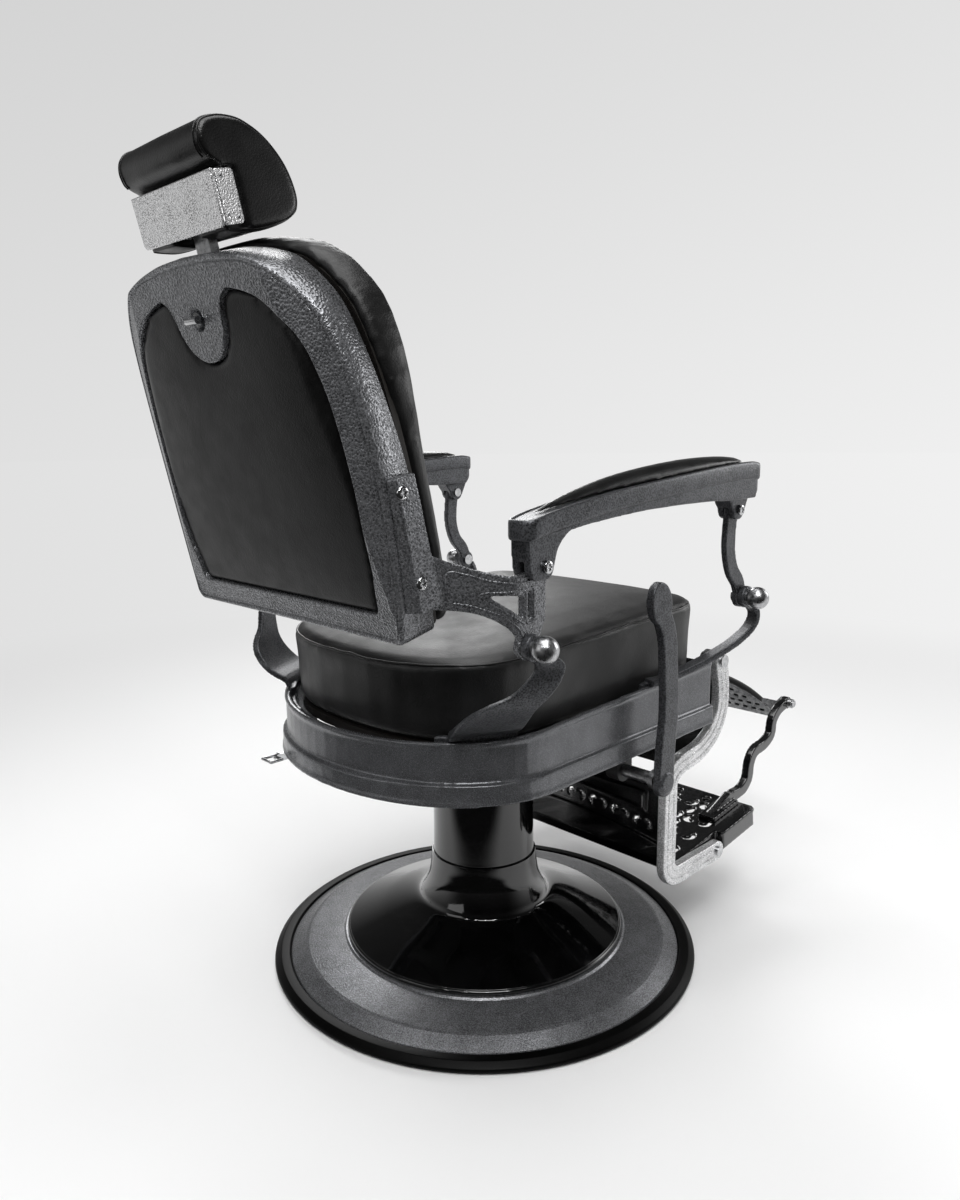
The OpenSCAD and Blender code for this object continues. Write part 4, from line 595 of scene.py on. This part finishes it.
def laid_on(cover, path, proud_mm=0.0, closed=True, calm=6):
    """A line drawn onto a cover: each of its points moves to the cover's nearest vertex, proud_mm out
    along the normal, and the line is then evened out with its neighbours calm times."""
    place, out = arrays(cover.data)
    near = np.array([np.linalg.norm(place - point, axis=1).argmin() for point in np.asarray(path)])
    line = place[near] + out[near] * proud_mm * MM
    for _ in range(calm):
        before, behind = np.roll(line, 1, 0), np.roll(line, -1, 0)
        if not closed:
            before[0], behind[-1] = line[0], line[-1]
        line = 0.25 * before + 0.5 * line + 0.25 * behind
    return line


BLOCK = 4000  # vertices measured against a path at a time


def sewn(points, normals, path, groove, width, pucker, spacing):
    """Points near a sewn seam sink by groove * exp(-(d / width)^2), where d is the distance from it,
    and gather beside it in puckers: pucker * exp(-d / 12 mm) * sin(2 pi s / spacing + wander)."""
    length = np.concatenate([[0], np.cumsum(np.linalg.norm(np.diff(path, axis=0), axis=1))])
    out = points.copy()
    for first in range(0, len(points), BLOCK):
        block = points[first:first + BLOCK]
        gap = np.linalg.norm(block[:, None, :] - path[None, :, :], axis=2)
        near = gap.argmin(1)
        d, s = gap.min(1), length[near]
        wander = 1.7 * np.sin(s * 61.0) + 1.1 * np.sin(s * 147.0 + 2.0)
        sink = groove * np.exp(-(d / width) ** 2)
        ripple = pucker * np.exp(-d / (12 * MM)) * np.sin(2 * np.pi * s / spacing + wander) * (d < 60 * MM)
        out[first:first + BLOCK] = block + normals[first:first + BLOCK] * (ripple - sink)[:, None]
    return out


def smoothstep(x):
    """3 x^2 - 2 x^3 between 0 and 1, level outside."""
    x = np.clip(x, 0, 1)
    return x * x * (3 - 2 * x)


# Seat cushion: full round back, straight sides, round front corners; superellipse across the back. Its
# top falls by SEAT_FALL from front to rear.
SEAT_HALF, SEAT_BACK, SEAT_TURN, SEAT_FRONT, SEAT_CORNER = 240, 284, 100, 300, 62
SEAM_Z, SEAT_FALL, SEAM_STEP = 574.5, 0.049, 6.0


def seat_line(inset):
    """Plan outline in millimetres, drawn in by inset, run as the solid's is."""
    half, front, back = SEAT_HALF - inset, SEAT_FRONT - inset, SEAT_BACK - SEAT_TURN - inset
    r = SEAT_CORNER - inset
    a = np.linspace(0, np.pi, 90)
    rear = np.stack([half * np.sign(np.cos(a)) * np.abs(np.cos(a)) ** 0.8,
                     SEAT_TURN + back * np.sin(a) ** 0.8], 1)
    b = np.linspace(0, np.pi / 2, 12)
    left = np.stack([-half + r - r * np.cos(b), -front + 12 + r - r * np.sin(b)], 1)
    nose = curve_through([[-half + r, -front + 12], [-half * 0.4, -front + 2], [0, -front],
                          [half * 0.4, -front + 2], [half - r, -front + 12]])[1:-1]
    return np.vstack([rear, left, nose, left[::-1] * [-1, 1]])


def even(path, step):
    """A closed path walked at even steps."""
    loop = np.vstack([path, path[:1]])
    run = np.concatenate([[0], np.cumsum(np.linalg.norm(np.diff(loop, axis=0), axis=1))])
    at = np.linspace(0, run[-1], max(8, int(run[-1] / step)), endpoint=False)
    return np.stack([np.interp(at, run, loop[:, k]) for k in range(loop.shape[1])], 1)


line = even(seat_line(1.0), SEAM_STEP)
top_seam = np.column_stack([line, SEAM_Z - SEAT_FALL * line[:, 1]]) * MM
cushion_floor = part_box("seat_cushion")[0].z
seat_pad = padding("seat_cushion", "seat_pad", 5.2, 5.0, pressure=5.0, shrink_mm=2.4, smoothing=8,
                   held=lambda p: smoothstep((p[:, 2] - cushion_floor - 0.004) / 0.03),
                   seams=[(top_seam, 1.6 * MM, 4.5 * MM, 0.12 * MM, 19 * MM)], finish="seat_vinyl")
welt("seat_cushion", "seat_pad_welt", laid_on(seat_pad, top_seam, -0.3), 2.0 * MM, "vinyl")

# ------------------------------------------------------------------ the back's own frame

LEAN = math.radians(13.8)
BACK_AT = np.array([0.0, 361.0, 615.0])
BACK_AXES = np.array([[1, 0, 0], [0, math.sin(LEAN), math.cos(LEAN)], [0, math.cos(LEAN), -math.sin(LEAN)]])
BACK_HALF, BACK_LENGTH, FRAME_DEPTH, BORDER, TONGUE, KEY_U = 254, 467, 50, 36, 52, 396
BACK_WRAP_R, HEM_CUT = 654.0, 12.0


def from_back(points):
    """(across, up the back, towards the rear) in millimetres to metres in the chair's frame."""
    return (BACK_AT + np.asarray(points, float) @ BACK_AXES) * MM


def to_back(points):
    """The other way round: metres in the chair's frame to the back's own millimetres."""
    return (np.asarray(points, float) / MM - BACK_AT) @ BACK_AXES.T


def back_half_points(inset, per_span=14):
    """Right half of the back's outline in (across, up), drawn in by inset: round lower corner, waist,
    arched top."""
    w, l = BACK_HALF - inset, BACK_LENGTH - inset
    a = np.radians(np.linspace(-90, -12, 7))
    corner = np.stack([w * 0.94 - 9 + 12 * np.cos(a), inset + 12 + 12 * np.sin(a)], 1)
    shares = [(0.975, 45 / l + inset / l), (0.99, 0.22), (1, 0.42), (0.975, 0.62), (0.93, 0.745), (0.85, 0.845),
              (0.68, 0.93), (0.52, 0.968), (0.27, 0.993), (0, 1)]
    return np.vstack([corner, curve_through([[w * x, l * u] for x, u in shares], per_span)])


def back_line(inset):
    """The whole outline, drawn in by inset, anticlockwise from the lower right corner."""
    half = back_half_points(inset, 6)
    return np.vstack([half, half[-2::-1] * [-1, 1]])


def rear_height(x, u):
    """Rear face of the back: flat low down, wrapped on a cylinder of radius BACK_WRAP_R towards the top."""
    wrap = 46.6 - 0.0295 * u - (BACK_WRAP_R - np.sqrt(BACK_WRAP_R ** 2 - x ** 2))
    return np.minimum(30.0, np.minimum(0.03457 * u, wrap))


def opening_line():
    """Opening of the back frame, anticlockwise from the bottom: the outline drawn in by the border, and
    over the top the notch that leaves the tongue round the clamp key."""
    whole = even(back_line(BORDER), 2.0)
    shoulder = curve_through([[TONGUE, KEY_U], [TONGUE + 5, KEY_U + 14], [TONGUE + 28, KEY_U + 30],
                              [TONGUE + 62, KEY_U + 44]], 10)
    cross = next(k for k in range(len(shoulder)) if shoulder[k, 0] > 76.5)
    edge = np.vstack([arc((0, KEY_U), TONGUE, -90, -1, 40), shoulder[:cross + 1]])
    lobe = whole[(whole[:, 0] >= 0) & ((whole[:, 1] < 380) | (whole[:, 0] > edge[-1, 0] + 4))]
    lobe = lobe[np.argsort(np.where(lobe[:, 1] < 37, lobe[:, 0] - 400, lobe[:, 1] - 0.4 * lobe[:, 0]))]
    right = np.vstack([lobe, edge[::-1]])
    return np.vstack([right, right[-2:0:-1] * [-1, 1]])


def shoulder_share(u):
    """0 up to the arms, 1 at the top of the back."""
    return smoothstep((np.asarray(u) - 170) / 220)


def fuller(points):
    """The back cushion swells towards its shoulders, out of its outline and forwards, and its hem laps
    over the edge of the board to meet the casting."""
    p = to_back(points)
    line = even(back_line(0.0), SEAM_STEP)
    gap = np.concatenate([np.linalg.norm(p[k:k + BLOCK, None, :2] - line[None], axis=2).min(1)
                          for k in range(0, len(p), BLOCK)])
    high, edge = shoulder_share(p[:, 1]), 1 - smoothstep(gap / 70)
    out = np.stack([p[:, 0] / BACK_HALF, np.maximum(p[:, 1] - 250, 0) / (BACK_LENGTH - 250)], 1)
    out /= np.maximum(np.linalg.norm(out, axis=1), 1e-6)[:, None]
    hem = smoothstep((p[:, 2] + 76) / 14)
    p[:, :2] += out * (11 * high * edge)[:, None]
    p[:, 2] += high * (18 * hem * (1 - smoothstep((gap - 9) / 9)) - 11 * (1 - hem) * (0.3 + 0.7 * edge))
    return from_back(p)


def under_headrest(points):
    """The top of the back cushion stays clear of the headrest above it."""
    p = to_back(points)
    roof = 474.5 + 14 * smoothstep((np.abs(p[:, 0]) - 96) / 50)
    over = np.maximum(p[:, 1] - roof + 3, 0)
    p[:, 1] -= over - 3 * (1 - np.exp(-over / 3))
    return from_back(p)


STATIONS = [90, 16, 150, 60, 70]
# edge of the casting: distance in from its outline and height over its rear face, in millimetres; the
# first point is the front edge of the side wall
RIM = [(0, None), (0, -9), (0, -5.5), (0.3, -2.6), (1.1, -0.5), (2.4, 1.0), (4.0, 1.6), (5.6, 1.5), (6.9, 0.6),
       (7.8, -0.7), (8.7, -0.9), (9.6, 0.1), (10.8, 0.5), (12.2, 0.2), (13.6, 0.0)]
FACE_ROWS, RIM_WIDTH, LIP_WIDTH = 42, 13.6, 3.0
UNDERSIDE, UNDERSIDE_REACH = -32.0, 20
KEY_RECESS, KEY_RECESS_R = 9.0, 9.5


def frame_casting():
    """Back frame: a section carried round the outline. Across the section runs the side wall, a rolled
    edge with two raised bead lines, the face as far as the opening, its rolled inner edge and the
    hidden underside; outer and inner outline are paired station by station, so the face widens into
    the tongue at the top. The face sinks into a round recess at the clamp key."""
    inner = opening_line()
    inner = np.roll(inner, -np.argmin(np.abs(inner[:, 0]) + inner[:, 1]), 0)
    top = np.argmin(np.where(inner[:, 1] > 340, np.abs(inner[:, 0]), 1e9))
    right_in, right_out = inner[:top + 1], np.vstack([[[0.0, 0.0]], back_half_points(0.0)])

    def walked(path, keys):
        """The path's right half from the middle of the bottom to the top, at STATIONS even steps
        between one key point and the next."""
        run = np.concatenate([[0], np.cumsum(np.linalg.norm(np.diff(path, axis=0), axis=1))])
        marks = [run[np.argmin(np.linalg.norm(path - key, axis=1))] for key in keys]
        at = np.concatenate([np.linspace(first, last, n, endpoint=False)
                             for first, last, n in zip(marks, marks[1:], STATIONS)] + [[marks[-1]]])
        return np.stack([np.interp(at, run, path[:, k]) for k in (0, 1)], 1)

    keys_in = [right_in[0], (205, 36), (216, 62), (178, 395), (80, 424), right_in[-1]]
    keys_out = [(0, 0), (222, 0), (240, 26), (214, 396), (140, 450), (0, 467)]
    a, b = walked(right_out, keys_out), walked(right_in, keys_in)
    a, b = (np.vstack([p, p[-2:0:-1] * [-1, 1]]) for p in (a, b))
    across = b - a
    width = np.linalg.norm(across, axis=1)[:, None]
    unit = across / width
    front_edge = HEM_CUT * shoulder_share(a[:, 1]) - FRAME_DEPTH
    rows = [a + unit * d for d, _ in RIM]
    heights = [front_edge if h is None else rear_height(*(a + unit * d).T) + h for d, h in RIM]
    for t in np.linspace(0, 1, FACE_ROWS + 2)[1:-1]:
        p = a + unit * (RIM_WIDTH + t * (width - RIM_WIDTH - LIP_WIDTH))
        rows.append(p)
        heights.append(rear_height(*p.T))
    for d, h in ((LIP_WIDTH, 0.0), (1.6, -0.3), (0.5, -1.2), (0.0, -3.0), (0.0, -14)):
        p = b - unit * d
        rows.append(p)
        heights.append(rear_height(*p.T) + h)
    hidden = a + unit * np.minimum(UNDERSIDE_REACH, 0.5 * width)
    rows += [b, hidden, hidden]
    heights += [np.full(len(a), UNDERSIDE + 2), np.full(len(a), UNDERSIDE), front_edge]
    plan, high = np.array(rows), np.array(heights)
    away = np.hypot(plan[..., 0], plan[..., 1] - KEY_U)
    on_face = np.zeros(plan.shape[:2])
    on_face[len(RIM):len(RIM) + FACE_ROWS] = 1
    high = high - KEY_RECESS * on_face * (1 - smoothstep((away - KEY_RECESS_R) / 4.5))
    points = np.dstack([plan, high]).reshape(-1, 3)
    faces = grid_faces(len(rows), len(a), True, True)
    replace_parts(new_piece("back_frame", "back_frame_casting", from_back(points), faces, "coat"), "back_frame")


frame_casting()
padding("back_panel", "rear_panel", 5.1, 2.5, pressure=3.0, shrink_mm=0.6, smoothing=9,
        held=lambda p: smoothstep((to_back(p)[:, 2] + 16) / 14), finish="panel_vinyl")

# the cushion's board ends at BOARD_FRONT; its boxing is BOXING deep, with a seam across it at SEAM_U
BOARD_FRONT, BOXING, SEAM_U = -FRAME_DEPTH - 8.3, 25.5, 228
line = even(back_line(2.0), SEAM_STEP)
seams = [(from_back(np.column_stack([line, np.full(len(line), BOARD_FRONT - BOXING)])),
          1.8 * MM, 4.5 * MM, 0.12 * MM, 21 * MM)]
for hand in (-1, 1):
    n = np.linspace(BOARD_FRONT - 2, BOARD_FRONT - 25, 12)
    seams.append((from_back(np.column_stack([np.full(12, hand * (BACK_HALF - 1.5)), SEAM_U - 0.25 * n / 8, n])),
                  1.8 * MM, 3.5 * MM, 0.0, 20 * MM))
padding("back_cushion", "back_pad", 5.0, 5.0, pressure=5.0, shrink_mm=2.2, smoothing=7,
        held=lambda p: smoothstep((BOARD_FRONT - 3 - to_back(p)[:, 2]) / 12),
        seams=seams, form=fuller, after=under_headrest, finish="back_vinyl")

# ------------------------------------------------------------------ screws and the web's raised lines


def pan_heads(node, name, spots, radius, height):
    """Chromed pan-head screws: a dome of height H (1 - (r / R)^3)^0.5 with a cross recess sunk into it. Each
    spot is (centre, axis, up), all in the chair's frame, the centre in metres."""
    r = radius * np.array([0.9, 1.0, 1.0, 0.985, 0.95, 0.9] + list(np.linspace(0.84, 0.04, 17)))[:, None]
    turn = np.linspace(0, 2 * np.pi, 72, endpoint=False)[None, :]
    a, b = r * np.cos(turn), r * np.sin(turn)
    h = height * np.sqrt(np.maximum(1 - (r / radius) ** 3, 0)) + 0 * turn
    h[:3] = np.array([-1.2, -1.2, 0.0])[:, None]
    slit = smoothstep((0.15 * radius - np.minimum(np.abs(a), np.abs(b))) / (0.1 * radius) + 0.5)
    h -= 0.85 * height * slit * smoothstep((0.62 * radius - r) / (0.14 * radius))
    points, faces = [], []
    one = grid_faces(len(r), turn.size, False, True)
    for k, (centre, axis, up) in enumerate(spots):
        e3 = np.asarray(axis, float)
        e1 = np.asarray(up, float) - e3 * np.dot(up, e3)
        e1 /= np.linalg.norm(e1)
        e2 = np.cross(e3, e1)
        head = a[..., None] * e1 + b[..., None] * e2 + h[..., None] * e3
        points.append(np.asarray(centre) + MM * head.reshape(-1, 3))
        first = k * a.size
        faces += (one[:, ::-1] + first).tolist()
        faces += [list(range(first + turn.size - 1, first - 1, -1)),
                  list(range(first + a.size - turn.size, first + a.size))]
    return new_piece(node, name, np.vstack(points), faces, "chrome")


HANDS = ((1, "left"), (-1, "right"))
heads = [(from_back([hand * 267.1, u, -25.0]), (hand, 0, 0), BACK_AXES[1])
         for hand in (-1, 1) for u in (74, 181)]
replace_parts(pan_heads("bracket_screws", "bracket_screw_heads", heads, 8.2, 4.0), "bracket_screws")
for hand, side in HANDS:
    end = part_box(f"arm_pins_{side}")[1 if hand > 0 else 0].x
    heads = [(np.array([end, y * MM, z * MM]), (hand, 0, 0), (0, 0, 1)) for y, z in ((210, 702), (-226, 741))]
    pan_heads(f"arm_pins_{side}", f"arm_pin_caps_{side}", heads, 7.6, 1.8)

# the bracket's web from top to bottom, (across, up) in millimetres
spine = curve_through([[313, 171], [313, 237], [309, 255], [283, 293], [258, 329], [257, 381]], 10)


def on_web(hand, path):
    """Points (y, z) in millimetres laid on the outer face of the bracket's web, metres."""
    path = np.asarray(path, float)
    slope = np.gradient(spine[:, 0], spine[:, 1])
    x = np.interp(path[:, 0], spine[:, 1], spine[:, 0] + 5 * np.sqrt(1 + slope ** 2))
    return np.column_stack([hand * x, path]) * MM


# raised lines on each web: name, (y, z) in millimetres, steps from one to the next, closed
RELIEF = [("line", [(229, 687), (248, 685.5), (276, 689.5), (303, 699.5), (315, 702), (320, 695), (319, 676),
                    (315, 666), (296, 661), (268, 648.5), (250, 633), (241, 621)], 6, False),
          ("window", [(236.5, 675), (236.5, 650), (238, 637), (246, 640), (270, 657), (287, 670.5),
                      (284, 675.5), (262, 675.5)], 6, True),
          ("slot", [(223, 637.5), (229, 636), (235, 637.5), (235.5, 657), (235, 676.5), (229, 678),
                    (223, 676.5), (222.5, 657)], 5, True)]
for hand, side in HANDS:
    for part, marks, steps, closed in RELIEF:
        path = on_web(hand, curve_through(marks, steps, closed))
        welt(f"side_bracket_{side}", f"web_{part}_{side}", path, 1.3 * MM, "coat", closed, (1, 0, 0), sides=8)

# ------------------------------------------------------------------ headrest, arm pads, calf roll


def drawn_in(outline, distance):
    """A closed outline moved inwards along its averaged normals."""
    t = along(outline, True)
    return outline + distance * np.stack([-t[:, 1], t[:, 0]], 1)


def rounded(low, high, radii):
    """Rectangle with its own corner radius at each corner, from the lower left one, anticlockwise."""
    (x0, y0), (x1, y1) = low, high
    a, b, c, d = radii
    return np.vstack([arc((x0 + a, y0 + a), a, 180, 270, 6), arc((x1 - b, y0 + b), b, 270, 360, 6),
                      arc((x1 - c, y1 - c), c, 0, 90, 6), arc((x0 + d, y1 - d), d, 90, 180, 6)])


def slab(name, outline, low, high, place, edge, finish):
    """Plate of the headrest bracket: an anticlockwise outline between two heights, its edges rolled over
    by edge mm; place(points) puts (a, b, height) in millimetres into the chair's frame."""
    section = [(edge + 0.6, low), (edge, low), (0.3 * edge, low + 0.3 * edge), (0, low + edge),
               (0, high - edge), (0.3 * edge, high - 0.3 * edge), (edge, high), (edge + 0.6, high)]
    n = len(outline)
    points = np.vstack([np.column_stack([drawn_in(outline, inward) if inward else outline, np.full(n, h)])
                        for inward, h in section])
    faces = grid_faces(len(section), n, False, True)[:, ::-1].tolist()
    faces += [list(range(n - 1, -1, -1)), list(range(len(points) - n, len(points)))]
    return new_piece("headrest_bracket", name, place(points), faces, finish)


HEAD_AT = np.array([0, 486.0, 5.5])
plate = slab("head_bracket_plate", rounded((-96.6, 0), (96.6, 60), (7, 7, 1, 1)), -4.0, 0.0,
             lambda p: from_back(p + HEAD_AT), 0.9, "steel_box")
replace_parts(plate, "headrest_bracket")
for hand, side in HANDS:
    def upright(p):
        """(towards the sitter, up, across) on this hand's side of the bracket."""
        return from_back(np.column_stack([hand * p[:, 2], p[:, 1], -p[:, 0]]) + HEAD_AT)

    slab(f"head_bracket_side_{side}", rounded((4.6, 1), (28, 59), (2, 5, 5, 2)), 92.8, 97.0, upright, 0.8,
         "steel_box")
    for k, (deep, up) in enumerate([(10, 12), (22, 8), (12, 52)]):
        slab(f"head_rivet_{side}_{k}", rounded((deep - 2, up - 2), (deep + 2, up + 2), (1.9,) * 4), 96.8, 98.4,
             upright, 0.8, "zinc")
    slab(f"head_hinge_cheek_{side}", rounded((8, 1), (38, 39), (5, 5, 14, 2)), 17.0, 22.6, upright, 0.8,
         "steel_box")
    slab(f"head_hinge_web_{side}", rounded((4.2, 2), (9, 38), (0.5,) * 4), 17.5, 22.0, upright, 0.3,
         "steel_box")


def tucked(points):
    """The roll's lower lip is drawn in under itself towards the bracket."""
    p = to_back(points) - HEAD_AT
    rear = smoothstep((p[:, 2] + 22) / 16)
    p[:, 2] -= 8.0 * rear * (1 - smoothstep((p[:, 1] - 63) / 14)) * (p[:, 1] > 58)
    return from_back(p + HEAD_AT)


head_pad = padding("headrest_pad", "head_pad", 4.0, 3.0, pressure=4.0, shrink_mm=1.2, smoothing=5,
                   after=tucked)
# section of the headrest roll, (towards the sitter, up) from the bracket
rim = curve_through([(5, -3), (36, -9), (74, -5), (97, 3), (105, 20), (98, 55), (79, 86), (54, 106),
                     (30, 113), (6, 111), (-5, 100), (-7, 86), (-2, 66)])
for name, across in (("head_pad_welt_a", 97.0), ("head_pad_welt_b", 88.6)):
    for hand, side in HANDS[::-1]:
        path = from_back(HEAD_AT + np.column_stack([np.full(len(rim), hand * across), rim[:, 1], -rim[:, 0]]))
        welt("headrest_pad", f"{name}_{side}", laid_on(head_pad, path, -0.1, closed=False, calm=3), 1.3 * MM,
             "vinyl", False, (1, 0, 0))

# Raised rim round the top of each armrest casting; the casting below it steps back. Distance in from
# the plan and drop from the arm's top, in millimetres.
ARM_MID = 316
ARM_TOP = curve_through([(-257, 809), (-226, 812), (-150, 808), (-40, 799), (90, 786), (204, 768), (244, 759)])
ARM_RIM = [(3.5, -0.2), (0.8, -1.5), (-1.0, -1.2), (-2.3, 0.4), (-2.8, 3.5), (-2.8, 18.5), (-2.3, 21.6),
           (-0.8, 23.2), (3.5, 23.6)]
arm_plan = even(np.vstack([
    arc((7, 236), 12, 0, 90, 8), arc((-7, 236), 12, 90, 180, 8),
    curve_through([(-20, 190), (-24, 90), (-27, -40), (-26, -180)], 10), arc((-15, -248), 11, 180, 270, 8),
    arc((15, -248), 11, 270, 360, 8), curve_through([(26, -180), (27, -40), (24, 90), (20, 190)], 10)]), 4.0)
for hand, side in HANDS:
    rows = []
    for inward, drop in ARM_RIM:
        ring = drawn_in(arm_plan, inward)
        rows.append(np.column_stack([hand * (ARM_MID + ring[:, 0]), ring[:, 1],
                                     np.interp(ring[:, 1], ARM_TOP[:, 0], ARM_TOP[:, 1]) - drop]))
    new_piece(f"armrest_{side}", f"arm_rim_{side}", np.vstack(rows) * MM,
              grid_faces(len(rows), len(arm_plan), True, True), "arm_coat")

for hand, side in HANDS:
    padding(f"arm_pad_{side}", f"arm_rest_pad_{side}", 3.2, 2.0, pressure=3.0, shrink_mm=0.8, smoothing=5)
padding("calf_cushion", "calf_roll", 4.0, 4.0, pressure=4.0, shrink_mm=1.5, smoothing=5)

# ------------------------------------------------------------------ base, skirt and column


def walled(curve, wall):
    """Closed section: the outer curve, and back along it drawn in by the wall's thickness."""
    t = along(curve, False)
    return np.vstack([curve, (curve + wall * np.stack([t[:, 1], -t[:, 0]], 1))[::-1]])


def eased(profile, cut=0.5):
    """Corners of a closed section cut off by a small flat, with a holding point each side of it, so that
    smooth shading turns only across the flat."""
    out = []
    for before, here, after in zip(np.roll(profile, 1, 0), profile, np.roll(profile, -1, 0)):
        a, b = before - here, after - here
        la, lb = np.linalg.norm(a), np.linalg.norm(b)
        if np.dot(a, b) / (la * lb) > -0.93:
            out += [here + a / la * min(3 * cut, 0.4 * la), here + a / la * min(cut, 0.2 * la),
                    here + b / lb * min(cut, 0.2 * lb), here + b / lb * min(3 * cut, 0.4 * lb)]
        else:
            out.append(here)
    return np.array(out)


EDGE = np.vstack([[[312, 0], [347, 0]], arc((349.5, 5), 5, -88, 62), arc((343, 10.6), 4.2, 62, 90, 6),
                  [[334, 14.9], [330, 14.4], [327.7, 11.0], [312, 11.0]]])
TRUMPET = curve_through([[229, 44], [177, 62], [116.5, 83], [102, 100], [92, 122], [87, 146], [85, 168]], 10)
SLEEVE = np.array([[82.5, 168.0], [85, 168], [84.6, 176], [84, 208], [84, 315], [81, 318], [70, 318],
                   [70, 315.5], [81.5, 315.5], [81.5, 208]])
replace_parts(lathe("base_ring", "base_edge", eased(EDGE), "rubber"), "base_ring")
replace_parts(lathe("skirt_cover", "skirt_trumpet", eased(walled(TRUMPET, 2.5)), "enamel"), "skirt_cover")
lathe("skirt_cover", "skirt_rim", arc((229, 42), 4, 0, 345, 24), "enamel")
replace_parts(lathe("column_cover", "column_sleeve", eased(SLEEVE, 0.8), "enamel"), "column_cover")
